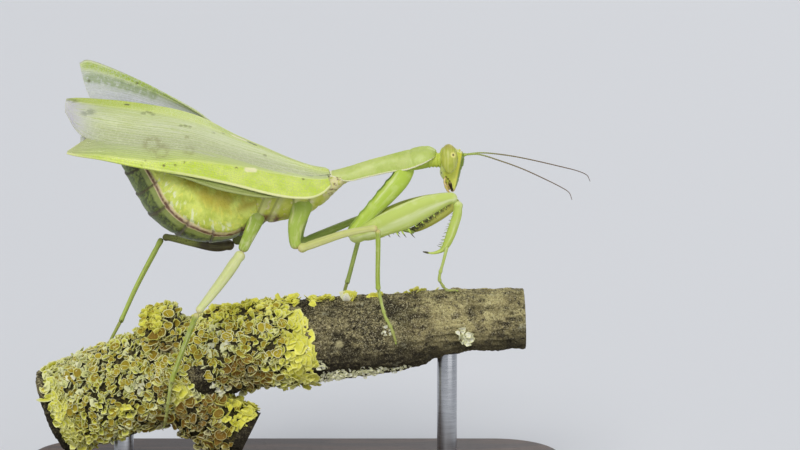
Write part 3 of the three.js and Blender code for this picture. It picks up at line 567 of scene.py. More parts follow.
def shield_point(u, t):
    """t runs over the outside from left to right, then back along the inside."""
    x = blend(SHIELD[0][0], SHIELD[-1][0], u)
    ridge, half, rise = shield_rows[round(u * SHIELD_RINGS)]
    outside = t <= 0.5
    share = t * 2 if outside else 2 - t * 2
    angle = math.pi * share
    across, up = math.cos(angle), math.sin(angle)
    rim = ease(0.16, 0.02, min(share, 1 - share))
    deep = min(SHIELD_THICKNESS, rise * 0.5)
    reach, drop = half, 0
    if outside:
        teeth = 0.07 * rim * (0.5 + 0.5 * math.sin(x * 13)) * ease(9, 12, x)
        reach += teeth + 0.06 * rim
        keel = 0.13 * bell(across, 0, 0.09) * ease(8.5, 12, x)
        groove = -0.09 * bell(x, GROOVE_AT + 0.9 * (1 - up), 0.3) * ease(0.02, 0.2, up)
        hollow = -0.1 * bell(x, GROOVE_AT + 2.4, 0.9) * bell(abs(across), 0.35, 0.16)
        spot = Vector((x, across * half, up * rise))
        drop = keel + groove + hollow + 0.05 * noise.noise(spot * 1.6)
    else:
        reach -= deep * (0.35 + 0.65 * up)
        drop = -deep * (0.25 + 0.75 * up)
    return at(x, 0, ridge) + (ACROSS * reach * across + UPRIGHT * (rise * (up - 1) + drop)) * MM


def shell_finish(name, rim_band):
    """Waxy green shell; rim_band makes the signal for its cream edge."""
    f = Finish(name)
    x, y, z = f.axes()
    cloud = f.noise(3.0, 3, 0.5)
    fine = f.noise(0.35, 3, 0.6)
    pits = f.cells(0.22)
    skin = f.mix(cloud.step(0.35, 0.65), tone(178, 196, 90), tone(196, 208, 120))
    skin = f.mix(x.step(22.0, 27.0) * 0.5, skin, tone(184, 202, 100))
    skin = f.mix(fine.step(0.55, 0.72) * 0.35, skin, tone(208, 222, 150))
    skin = f.mix(rim_band(f) * 0.95, skin, tone(244, 240, 204))
    return f.surface({
        "Base Color": skin, "Roughness": fine * 0.2 + 0.34,
        "Normal": f.bump(pits.step(0.0, 0.45) * 0.5 + fine * 0.5, 0.05),
        "Subsurface Weight": 0.2, "Subsurface Radius": (0.8, 0.9, 0.3), "Subsurface Scale": 0.001,
        "Coat Weight": 0.12, "Coat Roughness": 0.35,
    })


def shield_rim(f):
    u, v = f.wrapped()
    return (v - u.step(0.16, 0.05) * 0.09).step(0.046, 0.022).maths("MAXIMUM", u.step(0.055, 0.03))


def shield_mark(u, t):
    """Along the body, and how far in from the nearer edge."""
    share = t * 2 if t <= 0.5 else 2 - t * 2
    return u, min(share, 1 - share)


bm = bmesh.new()
wrap(bm, SHIELD_RINGS, SHIELD_SIDES, shield_point, shield_mark)
piece("pronotum_shell", bm, shell_finish("shield_green", shield_rim), "cuticle_green", "pronotum")

# %% [markdown]
# ## Limbs and horns
# Legs, palps and feelers are all lengths of tube with rounded ends, so one helper wraps them all along a smooth
# path. A relief can raise ridges and knuckles on them. Spines and claws are curved horns, and a number stored on
# their points says how near the tip each one is, so that the finish can darken the tips.

# %% Limbs and horns
CAP_RINGS = 5


def limb(bm, joints, rings=40, sides=24, relief=None, mark=None, across=ACROSS, values=None):
    """Adds a length of limb through its joints; relief(share, angle) raises its skin, in millimetres."""
    run = Run(joints, across)
    first, last = (joints[end][1] * MM / run.length for end in (0, -1))
    frames = []
    for i in range(rings + 1):
        near, far = min(i, rings - i), i > rings / 2
        if near < CAP_RINGS:
            turn = math.pi / 2 * near / CAP_RINGS
            cap = (last if far else first) * (1 - math.cos(turn))
            share, closing = (1 - cap if far else cap), math.sin(turn)
        else:
            share, closing = blend(first, 1 - last, (i - CAP_RINGS) / (rings - 2 * CAP_RINGS)), 1
        frames.append((share, closing, run.place(share)))

    def place(u, t):
        share, closing, (centre, side, up, ahead, half, radius) = frames[round(u * rings)]
        angle = 2 * math.pi * t
        grown = relief(share, angle) * MM if relief else 0
        return centre + (side * (half + grown) * math.cos(angle) + up * (radius + grown) * math.sin(angle)) * closing

    def spot(u, t):
        share = frames[round(u * rings)][0]
        return mark(share, t) if mark else (share, t)

    wrap(bm, rings, sides, place, spot, values)
    return run


def horn(bm, root, point, radius, bow=Vector((0, 0, 0)), rings=8, sides=8, power=0.75):
    """Adds a curved spine from root to point, bowed sideways, with its nearness to the tip as a value."""
    along = (point - root).normalized()
    side = along.cross(Vector((0.31, 0.92, 0.24))).normalized()
    up = along.cross(side)

    def place(u, t):
        centre = root.lerp(point, u) + bow * 4 * u * (1 - u) * MM
        size = radius * MM * (max(0, 1 - u) ** power) * min(1, u * 12)
        return centre + (side * math.cos(2 * math.pi * t) + up * math.sin(2 * math.pi * t)) * size

    wrap(bm, rings, sides, place, None, {"tip": lambda u, t: u})


def ball(bm, middle, half_axes, turn=Matrix.Identity(3), across=16, tall=12, shape=None):
    """Adds a ball squeezed to three half-axes in millimetres, turned, and put in its place."""
    uv = bm.loops.layers.uv.get(WRAP_MAP) or bm.loops.layers.uv.new(WRAP_MAP)
    made = bmesh.ops.create_uvsphere(bm, u_segments=across, v_segments=tall, radius=1)["verts"]
    for vert in made:
        spot = shape(vert.co) if shape else vert.co
        for loop in vert.link_loops:
            loop[uv].uv = (0.5 + 0.5 * vert.co.x, 0.5 + 0.5 * vert.co.z)
        size = Vector([c * half * MM for c, half in zip(spot, half_axes)])
        vert.co = middle + turn @ size


# %% [markdown]
# ## Head
# A mantis's head is a triangle hung from its upper edge: huge eyes at the corners, a flat face between them that
# narrows to the mouth, and three bead-like simple eyes over the feelers. The capsule is wrapped round a standing
# axis with a flattened front, and the face's plates are grooves and ridges on it.

# %% Head capsule
# Height, place of the axis, half-thickness from back to front, half-width.
HEAD = [
    (66.35, 32.5, 0.3, 0.55), (66.8, 32.52, 0.58, 0.85), (67.5, 32.5, 0.88, 1.15), (68.3, 32.25, 1.42, 1.4),
    (69.2, 32.05, 1.85, 1.75), (70, 32.02, 2.05, 2.05), (70.8, 32.14, 2.18, 2.35), (72.4, 32.2, 2.45, 2.8), (73.7, 32.3, 2.4, 2.9), (74.3, 31.95, 1.95, 2.75),
    (74.85, 31.7, 1.35, 2.35), (75.15, 31.65, 0.7, 1.6), (75.28, 31.6, 0.15, 0.5),
]
HEAD_RINGS, HEAD_SIDES = 120, 96
FEELER_ROOT = (34.45, 0.85, 73.5)
SIMPLE_EYES = ((34.3, 0.0, 74.0), (33.85, 0.45, 74.45), (33.85, -0.45, 74.45))


HEAD_LEAN = math.radians(-5)
HEAD_ACROSS = Vector((0, math.cos(HEAD_LEAN), math.sin(HEAD_LEAN)))


def on_head(x, out, z):
    """A point of the head, which she holds level though her body leans."""
    return at(x, 0, z) + HEAD_ACROSS * out * MM


def head_point(u, t):
    z = blend(HEAD[0][0], HEAD[-1][0], 0.5 - 0.5 * math.cos(math.pi * u))
    axis, thick, half = row(HEAD, z)
    front, out = math.cos(2 * math.pi * t), math.sin(2 * math.pi * t)
    square = 0.82 if front > 0 else 1
    front = math.copysign(abs(front) ** square, front)
    out = math.copysign(abs(out) ** 0.92, out)
    facing = ease(0.1, 0.75, front)
    across = out * half
    grown = 0
    plate = ease(71.1, 71.4, z) * ease(73.0, 72.6, z) * ease(1.5, 1.25, abs(across))
    grown += 0.16 * plate * facing
    grown -= 0.09 * bell(z, 70.35, 0.13) * facing * ease(1.7, 1.2, abs(across))
    grown -= 0.08 * bell(z, 68.75, 0.12) * facing
    grown -= 0.14 * bell(abs(across), 1.45, 0.12) * facing * ease(68.4, 69.2, z) * ease(73.2, 72.2, z)
    grown += 0.2 * bell(z, 73.5, 0.5) * bell(abs(across), 0.85, 0.4) * facing
    grown -= 0.1 * bell(abs(across), 1.1, 0.1) * ease(74.2, 74.8, z)
    grown += 0.12 * bell(z, 75.2, 0.3) * ease(0.5, -0.2, front)
    grown += 0.05 * noise.noise(Vector((front * 3, across, z)) * 1.1)
    close = min(1, u * 40, (1 - u) * 40) ** 0.5 if u in (0, 1) else 1
    return at(axis + (thick + grown) * front * close, 0, z) + HEAD_ACROSS * (half + grown) * out * close * MM


def head_finish():
    f = Finish("face")
    x, y, z = f.axes()
    cloud = f.noise(1.4, 3, 0.5)
    fine = f.noise(0.3, 3, 0.6)
    skin = f.mix(cloud.step(0.35, 0.65), tone(194, 204, 64), tone(214, 219, 82))
    front = x + (z - 66.4) * -0.19
    skin = f.mix(front.step(32.2, 32.6) * 0.85, skin, tone(224, 220, 62))
    skin = f.mix(z.step(70.6, 68.4) * 0.75, skin, tone(234, 236, 112))
    # Painted shade: a narrow dark green band along the front edge of the face.
    skin = f.mix(front.step(32.72, 33.05) * z.step(66.4, 67.4) * 0.9, skin, tone(104, 132, 30))
    # The top of the head turns pale: partly its own browner tone, partly a painted highlight along the vertex.
    skin = f.mix(z.step(74.7, 75.5) * 0.55, skin, tone(198, 194, 132))
    skin = f.mix(x.step(31.2, 30.3) * z.step(74.5, 73) * 0.75, skin, tone(222, 230, 146))
    slit = f.spots(MOUTH_MARKS, 0.28, 0.4) * fine.step(0.3, 0.45)
    skin = f.mix(slit * 0.92, skin, tone(30, 22, 12))
    return f.surface({
        "Base Color": skin, "Roughness": fine * 0.2 + 0.3, "Normal": f.bump(fine * 0.6 + cloud * 0.4, 0.05),
        "Subsurface Weight": 0.2, "Subsurface Radius": (0.8, 0.8, 0.2), "Subsurface Scale": 0.0008,
        "Coat Weight": 0.2, "Coat Roughness": 0.3,
    })


MOUTH_MARKS = [tuple(on_head(x, side * out, z) / MM) for x, out, z in
               ((30.05, 1.1, 69.9), (31.15, 1.65, 69.05), (31.5, 1.6, 68.65), (31.8, 1.45, 68.2), (32.0, 1.3, 67.7), (32.2, 1.2, 67.2),
                (32.4, 1.1, 66.7))
               for side in SIDES]

bm = bmesh.new()
wrap(bm, HEAD_RINGS, HEAD_SIDES, head_point)
for x, out, z in SIMPLE_EYES:
    ball(bm, on_head(x, out, z), (0.2, 0.2, 0.2))
piece("head_capsule", bm, head_finish(), "cuticle_green", "head")

# %% [markdown]
# ## Eyes
# Each eye is one smooth egg, fuller above than below, seated in the corner of the head. Its thousands of facets
# are too fine to be seen one by one, so they are left to the bump. The dark point with a pale ring is the false
# pupil, and faint upright bands run down the eye.

# %% Eyes
EYE_AT = (31.75, 2.7, 72.7)
EYE_HALF_AXES = (1.72, 1.5, 2.95)
EYE_SPREAD = math.radians(9)
PUPIL_AT = (32.6, 3.95, 73.62)


def egg(spot):
    """A unit ball made slimmer towards its lower end and flatter behind."""
    slim = 1 - 0.24 * max(0, -spot.z) ** 1.5
    return Vector((spot.x * slim, spot.y * slim, spot.z))


def eye_finish(side):
    f = Finish(f"eye_{SIDES[side]}")
    x, y, z = f.axes()
    cloud = f.noise(1.3, 3, 0.5)
    wobble = x + (f.noise(2.2, 2, 0.5) - 0.5) * 0.6
    bands = f.noise(0.42, 1, 0.4, vector=f.vector(wobble, 0.0, z * 0.05))
    glaze = f.mix(cloud.step(0.3, 0.7), tone(166, 176, 56), tone(186, 190, 74))
    glaze = f.mix(bands.step(0.42, 0.66) * 0.55, glaze, tone(206, 208, 120))
    glaze = f.mix(z.step(74.6, 75.6) * 0.6, glaze, tone(176, 160, 84))
    glaze = f.mix(z.step(71.4, 69.9) * 0.6, glaze, tone(198, 200, 104))
    pupil = tuple(on_head(PUPIL_AT[0], side * PUPIL_AT[1], PUPIL_AT[2]) / MM)
    glaze = f.mix(f.spots([pupil], 0.62, 0.3) * 0.85, glaze, tone(240, 232, 140))
    glaze = f.mix(f.spots([pupil], 0.3, 0.4) * 0.95, glaze, tone(54, 38, 18))
    facets = f.cells(0.085)
    return f.surface({
        "Base Color": glaze, "Roughness": cloud * 0.1 + 0.33, "Normal": f.bump(facets.step(0.0, 0.5), 0.008),
        "Subsurface Weight": 0.25, "Subsurface Radius": (0.8, 0.8, 0.2), "Subsurface Scale": 0.0012,
        "Coat Weight": 0.06, "Coat Roughness": 0.4,
    })


for side, name in SIDES.items():
    bm = bmesh.new()
    turn = Matrix.Rotation(side * EYE_SPREAD + HEAD_LEAN, 3, "X") @ Matrix.Rotation(side * math.radians(-7), 3, "Z")
    ball(bm, on_head(EYE_AT[0], side * EYE_AT[1], EYE_AT[2]), EYE_HALF_AXES, turn, 80, 56, egg)
    piece(f"eye_{name}_ball", bm, eye_finish(side), "eye", f"eye_{name}")

# %% [markdown]
# ## Mouth
# Below the face hang an upper lip, a pair of dark-edged jaws, and four palps: thin jointed fingers that are
# never still in life. Each is a short limb, and together they make one small piece.

# %% Mouth
LIP = [((32.7, 0.0, 67.4), 0.58, 1.3), ((32.55, 0.0, 66.7), 0.5, 1.3), ((32.35, 0.0, 66.1), 0.3, 1.2)]
JAW = [((31.9, 0.8, 69.4), 0.6, 0.9), ((32.1, 0.8, 67.9), 0.5, 0.9), ((32.5, 0.45, 66.3), 0.24, 0.9)]
THROAT = [((31.3, 0.0, 69.9), 0.8, 1.4), ((31.5, 0.0, 68.2), 0.55, 1.3), ((31.9, 0.0, 66.5), 0.3, 1.3)]
LONG_PALP = [((31.1, 1.15, 69.2), 0.17), ((30.85, 1.45, 68.5), 0.18), ((30.9, 1.55, 67.7), 0.16),
             ((31.15, 1.5, 66.9), 0.17), ((31.5, 1.3, 66.3), 0.15), ((31.95, 1.1, 65.85), 0.11)]
SHORT_PALP = [((31.4, 0.6, 67.9), 0.15), ((31.35, 0.75, 67.1), 0.16), ((31.6, 0.7, 66.4), 0.15), ((32.0, 0.55, 65.9), 0.1)]


def hung(joints, side=LEFT):
    """The joints of a mouthpart, mirrored to a side of the head."""
    return [(on_head(x, side * out, z), *rest) for (x, out, z), *rest in joints]


def knuckled(count, height=0.05):
    """Relief of a limb with a knuckle at the end of each of its lengths."""
    return lambda share, angle: height * abs(math.cos(math.pi * count * share)) ** 6 - 0.02


def mouth_finish():
    f = Finish("mouthparts")
    x, y, z = f.axes()
    tip = f.value("tip")
    cloud = f.noise(0.6, 3, 0.5)
    skin = f.mix(cloud.step(0.35, 0.65), tone(216, 200, 110), tone(232, 200, 150))
    skin = f.mix((z - 66.4).step(1.6, 0.2) * cloud.step(0.45, 0.6) * 0.45, skin, tone(206, 142, 96))
    skin = f.mix(tip, skin, tone(46, 28, 16))
    return f.surface({
        "Base Color": skin, "Roughness": cloud * 0.2 + 0.32, "Normal": f.bump(cloud, 0.04),
        "Subsurface Weight": 0.25, "Subsurface Radius": (0.8, 0.6, 0.3), "Subsurface Scale": 0.0006,
    })


bm = bmesh.new()
limb(bm, hung(LIP), 30, 28, values={"tip": lambda u, t: 0.22})
limb(bm, hung(THROAT), 30, 28, values={"tip": lambda u, t: 0.25})
for side in SIDES:
    limb(bm, hung(JAW, side), 30, 20, values={"tip": lambda u, t: ease(0.22, 0.5, u)})
    limb(bm, hung(LONG_PALP, side), 44, 14, knuckled(5), values={"tip": lambda u, t: 0.0})
    limb(bm, hung(SHORT_PALP, side), 32, 14, knuckled(3), values={"tip": lambda u, t: 0.0})
piece("mouthparts_skin", bm, mouth_finish(), "mouthparts", "mouthparts")

# %% [markdown]
# ## Feelers
# The feelers are threads of many tiny rings. The first two joints are thick and green, and the thread thins and
# browns towards its end. A ripple in the radius makes the rings.

# %% Feelers
FEELERS = {
    RIGHT: [(37.6, -1.9, 73.8), (41.7, -3.6, 72.75), (46.1, -5.2, 71.3), (50.4, -7, 69.5), (53.8, -8.4, 67.9),
            (55.1, -9, 67), (55.6, -9.45, 65.7)],
    LEFT: [(38.2, 2, 73.7), (43, 3.6, 73.1), (47.8, 5, 72.1), (55.7, 7.3, 70.05), (58.2, 8, 69.3), (60, 8.6, 68.4),
           (60.7, 8.95, 67.1)],
}
FEELER_BEADS = 62


def feeler_finish():
    f = Finish("feeler")
    u, v = f.wrapped()
    ring = f.noise(1.0, 1, 0.4, vector=f.vector(u * FEELER_BEADS, 0.0))
    skin = f.ramp(u, (0.0, tone(168, 190, 82)), (0.1, tone(158, 172, 84)), (0.24, tone(132, 124, 78)), (0.6, tone(112, 92, 66)),
                  (1.0, tone(98, 74, 56)))
    skin = f.mix(ring.step(0.5, 0.7) * 0.4, skin, tone(86, 70, 46))
    return f.surface({"Base Color": skin, "Roughness": ring * 0.2 + 0.4})


for side, name in SIDES.items():
    bm = bmesh.new()
    root, socket = on_head(33.9, side * 0.85, 73.45), on_head(35.3, side * 0.95, 73.6)
    limb(bm, [(root, 0.36), (on_head(34.7, side * 0.88, 73.52), 0.36), (socket, 0.27)], 24, 20, knuckled(1, 0.03),
         mark=lambda share, t: (share * 0.05, t))
    thread = [(socket - (socket - root) * 0.3, 0.19)] + [(at(*p), r) for p, r in zip(FEELERS[side], (0.15, 0.135, 0.12, 0.105, 0.09, 0.075, 0.055))]
    limb(bm, thread, 380, 12, lambda share, angle: 0.022 * math.cos(2 * math.pi * FEELER_BEADS * share) * (1.2 - share))
    piece(f"antenna_{name}_thread", bm, feeler_finish(), "antenna", f"antenna_{name}")

# %% [markdown]
# ## Leaves
# A wing is a sheet a fifth of a millimetre thick. A plane with a solidify modifier would give it square edges, so
# a grid is wrapped over its upper side and back under its lower side, with a thickness that swells along the main
# veins and the front rim and closes at the edges. Each point also keeps how far it is from the margin.

# %% Leaves
def leaf(bm, spot, rows, columns, half_thick, relief, values):
    """Wraps a thin closed sheet; spot(u, v) is its middle, the rest are millimetres or plain numbers."""
    net = [[spot(i / rows, j / columns) for j in range(columns + 1)] for i in range(rows + 1)]

    def facing(i, j):
        along = net[min(rows, i + 1)][j] - net[max(0, i - 1)][j]
        across = net[i][min(columns, j + 1)] - net[i][max(0, j - 1)]
        return along.cross(across).normalized()

    def both(u, t):
        return u, 2 * t if t <= 0.5 else 2 - 2 * t

    def place(u, t):
        v = both(u, t)[1]
        i, j = round(u * rows), round(v * columns)
        inside = 0 if i in (0, rows) or j in (0, columns) else 1
        offset = relief(u, v) + (half_thick(u, v) * inside if t <= 0.5 else -half_thick(u, v) * inside)
        return net[i][j] - facing(i, j) * offset * MM

    wrap(bm, rows, columns * 2, place, both,
         {name: (lambda u, t, value=value: value(*both(u, t))) for name, value in values.items()})


def through(table, share):
    """The values of a table of plain rows at a share of the way through it."""
    return row([(i, *r) for i, r in enumerate(table)], share * (len(table) - 1))


# %% [markdown]
# ## Folded wings
# The three folded wings lie on one arched roof over the body. The roof is measured across at nine stations, and a
# wing is two edges drawn on it, so that wings which overlap stay parallel, a fraction of a millimetre apart.

# %% Folded wings
# Place along the body, the roof's right and left edges (y, z each), and the height of its arch.
ROOF = [
    (9, -4.6, 67.9, 3, 69.2, 1.2), (7, -6.2, 66.4, 4.4, 69.3, 1.8), (4, -8, 65.7, 6, 69.9, 2.3),
    (-2, -9.4, 66.3, 7.4, 71.9, 2.4), (-11, -10, 68.6, 6.8, 76, 2.4), (-19, -10, 70.3, 6.2, 80.1, 2.3),
    (-30, -9, 72, 6, 82.6, 2.1), (-39, -7.6, 73.9, 5.5, 83.5, 1.8), (-46, -6, 75.2, 4.6, 83.8, 1.5),
]
# Front edge and inner edge as (place along the body, share across the roof), and the height over the roof.
FOLDED = {
    "forewing_right": (
        [(8.4, 0.04), (5, 0), (-6, 0), (-20, 0), (-34, 0), (-41, -0.025), (-43.4, -0.02)],
        [(7.6, 0.52), (2, 0.62), (-8, 0.66), (-20, 0.68), (-31, 0.58), (-37.6, 0.34), (-43.2, 0.03)], 0),
    "forewing_left": (
        [(7.2, 0.86), (3, 1), (-6, 1), (-20, 1), (-34, 1), (-42, 1.0), (-44.8, 0.98)],
        [(8.3, 0.5), (1.5, 0.38), (-10, 0.3), (-22, 0.24), (-32, 0.19), (-37.6, 0.18), (-41.8, 0.33), (-44.6, 0.68)], 0.8),
    "hindwing_right": (
        [(3.5, 0.16), (-3, 0.01), (-12, -0.045), (-20, 0.0), (-30, 0.08), (-38, 0.14), (-41, 0.2)],
        [(3.5, 0.45), (-4, 0.55), (-12, 0.6), (-20, 0.62), (-29, 0.58), (-37, 0.42), (-40.8, 0.26)], -0.8),
}
WING_ROWS, WING_COLUMNS = 200, 56
# Share of the length, and how far the leathery front field reaches across.
FRONT_FIELD = [(0, 0.6), (0.12, 0.58), (0.2, 0.55), (0.34, 0.43), (0.42, 0.33), (0.5, 0.24), (0.56, 0.16), (0.66, 0.11),
               (0.8, 0.09), (1, 0.06)]
FAR_FRONT_FIELD = [(0, 0.72), (0.1, 0.62), (0.2, 0.5), (0.3, 0.38), (0.4, 0.31), (0.6, 0.25), (0.8, 0.22), (0.93, 0.18), (1, 0.1)]


def on_roof(x, share, lift):
    """A point over the roof."""
    y0, z0, y1, z1, arch = row(ROOF, x)
    over = Vector((0, y1 - y0, z1 - z0))
    normal = Vector((0, z0 - z1, y1 - y0)).normalized()
    return (Vector((x, y0, z0)) + over * share + normal * (4 * arch * share * (1 - share) + lift)) * MM


def folded_spot(name):
    front, inner, lift = FOLDED[name]
    fronts = [through(front, i / WING_ROWS) for i in range(WING_ROWS + 1)]
    inners = [through(inner, i / WING_ROWS) for i in range(WING_ROWS + 1)]

    def spot(u, v):
        (x0, s0), (x1, s1) = fronts[round(u * WING_ROWS)], inners[round(u * WING_ROWS)]
        return on_roof(blend(x0, x1, v), blend(s0, s1, v), lift * (1 - ease(0.45, 1, v)))
    return spot


def wing(spot, front_field=FRONT_FIELD, thick=0.09, way=1):
    """Makes a wing from its middle surface, with raised veins, a thick front rim and slack between them.

    way is -1 for a wing measured from the left, so that its slack bends the same way as its neighbour's.
    """
    widths = [sum((spot(i / WING_ROWS, (j + 1) / 8) - spot(i / WING_ROWS, j / 8)).length for j in range(8)) / MM
              for i in range(WING_ROWS + 1)]

    def field(u, v):
        return v - row(front_field, u)[0]

    def width(u):
        return widths[round(u * WING_ROWS)]

    def half_thick(u, v):
        rim = 0.13 * ease(0.75, 0.3, v * width(u)) * ease(1.0, 0.86, u)
        vein = 0.07 * bell(field(u, v) * width(u), 0, 0.3)
        return thick * (1 - 0.55 * ease(0.35, 0.9, v)) + rim + vein

    def relief(u, v):
        calm = ease(0, 0.08, u) * ease(1, 0.9, u)
        slack = 0.2 * way * noise.noise(spot(u, v) * 130)
        pleats = 0.025 * math.sin(v * 50 + 3 * u) * ease(0, 0.1, field(u, v)) * calm
        return slack + pleats * ease(0, 0.1, v) * ease(1, 0.9, v)

    def margin(u, v):
        return min(v * width(u), (1 - v) * width(u), (1 - u) * 50)

    bm = bmesh.new()
    leaf(bm, spot, WING_ROWS, WING_COLUMNS, half_thick, relief,
         {"field": field, "rim": lambda u, v: v * width(u), "margin": margin, "width": lambda u, v: width(u)})
    return bm


# %% [markdown]
# ## Veins
# Long veins run out from the root and fork, and between them lies a fine net. The lines are counted across the
# wing: a saw of the crosswise direction is near zero at every line, twice as many lines start halfway along, and
# a cell pattern stretched lengthwise gives the net. The front field is leathery and green, the rest a pale
# membrane that lets some light through.

# %% Veins
def lines(f, v, count, width, thick):
    """1 on each of count lines across the wing, thick in millimetres."""
    near = (v * count).maths("PINGPONG", 0.5) * (width / count)
    return near.step(thick, thick * 0.35)


def wing_finish(name, colours, marks=(), clear=0.9):
    """Green leather in front and veined membrane behind; marks: (centres, radius, colour, strength).

    A mark with two radii is a ring.
    """
    f = Finish(name)
    u, v = f.wrapped()
    x, y, z = f.axes()
    field, rim, margin, width = (f.value(n) for n in ("field", "rim", "margin", "width"))
    cloud = f.noise(3.4, 4, 0.55)
    fine = f.noise(0.5, 3, 0.6)
    long = f.noise(1.0, 3, 0.55, vector=f.vector(u * 9.0, v * 42.0))
    bent = v + (f.noise(1.0, 2, 0.5, vector=f.vector(u * 5.0, v * 3.0)) - 0.5) * 0.03 + u * 0.04
    veins = lines(f, bent, 13.0, width, 0.14).maths("MAXIMUM", lines(f, bent, 26.0, width, 0.1) * u.step(0.3, 0.42) * 0.85)
    veins = veins.maths("MAXIMUM", lines(f, bent, 52.0, width, 0.07) * u.step(0.6, 0.72) * 0.6)
    net = f.cells(1.0, "DISTANCE_TO_EDGE", f.vector(x * 1.1, v * width * 2.1)).step(0.12, 0.03)
    front_net = f.cells(1.0, "DISTANCE_TO_EDGE", f.vector(x * 2.2, v * width * 1.6)).step(0.14, 0.04)
    leathery = field.step(0.06, -0.04)
    front = f.mix(cloud.step(0.36, 0.64), colours["front"], colours["front_edge"])
    front = f.mix(front_net * 0.35, front, colours["pale"])
    front = f.mix(fine.step(0.56, 0.72) * 0.25, front, colours["vein"])
    rest = f.mix(long.step(0.32, 0.68), colours["field"], colours["pale"])
    rest = f.mix(cloud.step(0.5, 0.7) * 0.5, rest, colours["pale"])
    rest = f.mix(v.step(*colours["inner_span"]) * 0.85, rest, colours["inner"])
    rest = f.mix(veins * 0.62, rest, colours["vein"])
    rest = f.mix(net * 0.3, rest, colours["pale"])
    rest = f.mix(field.step(0.3, 0.0) * 0.35, rest, colours["front"])
    rest = f.mix(u.step(0.66, 0.92) * long.step(0.25, 0.5) * 0.9, rest, colours["tip"])
    front = f.mix(u.step(0.66, 0.95) * 0.65, front, colours["apex"])
    skin = f.mix(leathery, rest, front)
    skin = f.mix(abs(field * width).step(0.3, 0.1) * 0.25, skin, colours["cream"])
    skin = f.mix(rim.step(0.62, 0.34) * u.step(0.62, 0.4) * colours["rim_share"], skin, colours["cream"])
    skin = f.mix(margin.step(0.5, 0.1) * u.step(0.6, 0.85) * 0.6, skin, colours["cream"])
    for centres, radius, colour, strength in marks:
        outer, inner = radius if isinstance(radius, tuple) else (radius, 0)
        blotch = f.spots(centres, outer, 0.5)
        if inner:
            blotch = blotch * (1 - f.spots(centres, inner, 0.7)) * cloud.step(0.3, 0.55)
        blotch = blotch * f.noise(0.9, 3, 0.6).step(0.34, 0.52 if strength < 1 else 0.36)
        skin = f.mix(blotch * strength, skin, colour)
    height = veins * 0.7 + net * leathery.step(1.0, 0.0) * 0.4 + front_net * leathery * 0.5 + fine * 0.25
    thin = ((v - 1) * width * -1.0).step(0.0, 0.55) * 0.7 + 0.3
    solid = (veins * 0.35 + net * 0.2 + margin.step(0.5, 0.2) * 0.4 + leathery + u.step(0.25, 0.0)).maths("MINIMUM", 1.0)
    return f.surface({
        "Base Color": skin, "Roughness": fine * 0.15 + 0.34, "Normal": f.bump(height, 0.07),
        "Alpha": (solid * (1 - clear) + clear) * thin, "Subsurface Weight": 0.15, "Subsurface Radius": (0.8, 0.9, 0.4),
        "Subsurface Scale": 0.0008, "Coat Weight": 0.06,
    })


# %% [markdown]
# ## Forewings
# The near forewing shows its bright front field with a thick cream rim; the far one shows mostly its membrane,
# which turns whitish and clear towards the rounded hind margin. Each carries a cream eye-shaped spot on the main
# vein and a scatter of small brown scars.

# %% Forewings
CREAM = tone(238, 240, 172)
SCAR = tone(110, 100, 50)
RIGHT_FOREWING = {
    "front": tone(203, 226, 66), "front_edge": tone(224, 240, 108), "field": tone(181, 190, 138),
    "pale": tone(192, 200, 150),
    "vein": tone(176, 196, 112), "tip": tone(182, 188, 128),
    "apex": tone(182, 188, 128), "cream": CREAM, "rim_share": 0.95,
    "inner": tone(198, 204, 156), "inner_span": (0.16, 0.45),
}
LEFT_FOREWING = RIGHT_FOREWING | {
    "front": tone(192, 212, 64), "front_edge": tone(202, 218, 84), "field": tone(212, 222, 150), "pale": tone(234, 240, 196), "tip": tone(222, 218, 226), "apex": tone(182, 192, 116),
    "rim_share": 0.7,
    "inner_span": (0.55, 0.85),
}
# Marks on the folded wings, as places along the body and shares across the roof.
SCARS = [
    ([(-24.1, 0.07), (-21.9, 0.09), (-20.2, 0.14), (-10.1, 0.23)], 0.32, SCAR, 0.85),
    ([(-28.4, 0.03), (-27.7, 0.09), (2.9, 0.32)], 0.28, SCAR, 0.7),
    ([(-29, 0.74), (-28.4, 0.78), (-27.8, 0.77), (-27.2, 0.75)], 0.55, tone(124, 132, 62), 0.65),
    ([(-21.4, 0.62), (-20.5, 0.64), (-19.6, 0.64), (-15.1, 0.67), (-13.3, 0.76), (-4.8, 0.58)], 0.42, tone(128, 132, 70), 0.6),
    ([(-26.6, 0.3), (-24.7, 0.22)], (1.7, 1.1), tone(138, 130, 70), 0.8),
    ([(-19.4, 0.3)], (1.2, 0.6), tone(142, 138, 80), 0.6), ([(-20, 0.46)], 0.45, tone(146, 144, 84), 0.5),
    ([(-32.6, 0.9)], 0.55, tone(84, 84, 40), 0.9), ([(-40.2, 0.62), (-39.4, 0.64)], 1.0, tone(136, 142, 118), 0.6),
    ([(-44.9, 1.0), (-44.1, 0.95), (-43.2, 0.9)], 1.0, tone(124, 132, 62), 0.6),
]
NEAR_EYESPOT = [([(-8.0 + 0.42 * i, 0.25 + 0.009 * i) for i in range(4)], 0.62, tone(246, 242, 186), 1.0)]
FAR_EYESPOT = [([(-11.2 + 0.5 * i, 0.85) for i in range(5)], 0.75, tone(246, 242, 186), 1.0),
               ([(-8.2, 0.84), (-7.7, 0.83), (-7.2, 0.82)], 0.55, tone(60, 52, 26), 1.0)]


def on_wing(scars, top):
    """The marks in millimetres of the frame, raised by top where the far wing lies over the near one."""
    return [([on_roof(x, share, top * ease(0.3, 0.55, share)) / MM for x, share in centres], *rest)
            for centres, *rest in scars]


finish = wing_finish("forewing_right", RIGHT_FOREWING, on_wing(SCARS + NEAR_EYESPOT, 0.1), 0.97)
piece("forewing_right_leaf", wing(folded_spot("forewing_right")), finish, "forewing", "forewing_right")
finish = wing_finish("forewing_left", LEFT_FOREWING, on_wing(SCARS + FAR_EYESPOT, 0.8), 0.86)
piece("forewing_left_leaf", wing(folded_spot("forewing_left"), FAR_FRONT_FIELD, way=-1), finish, "forewing", "forewing_left")

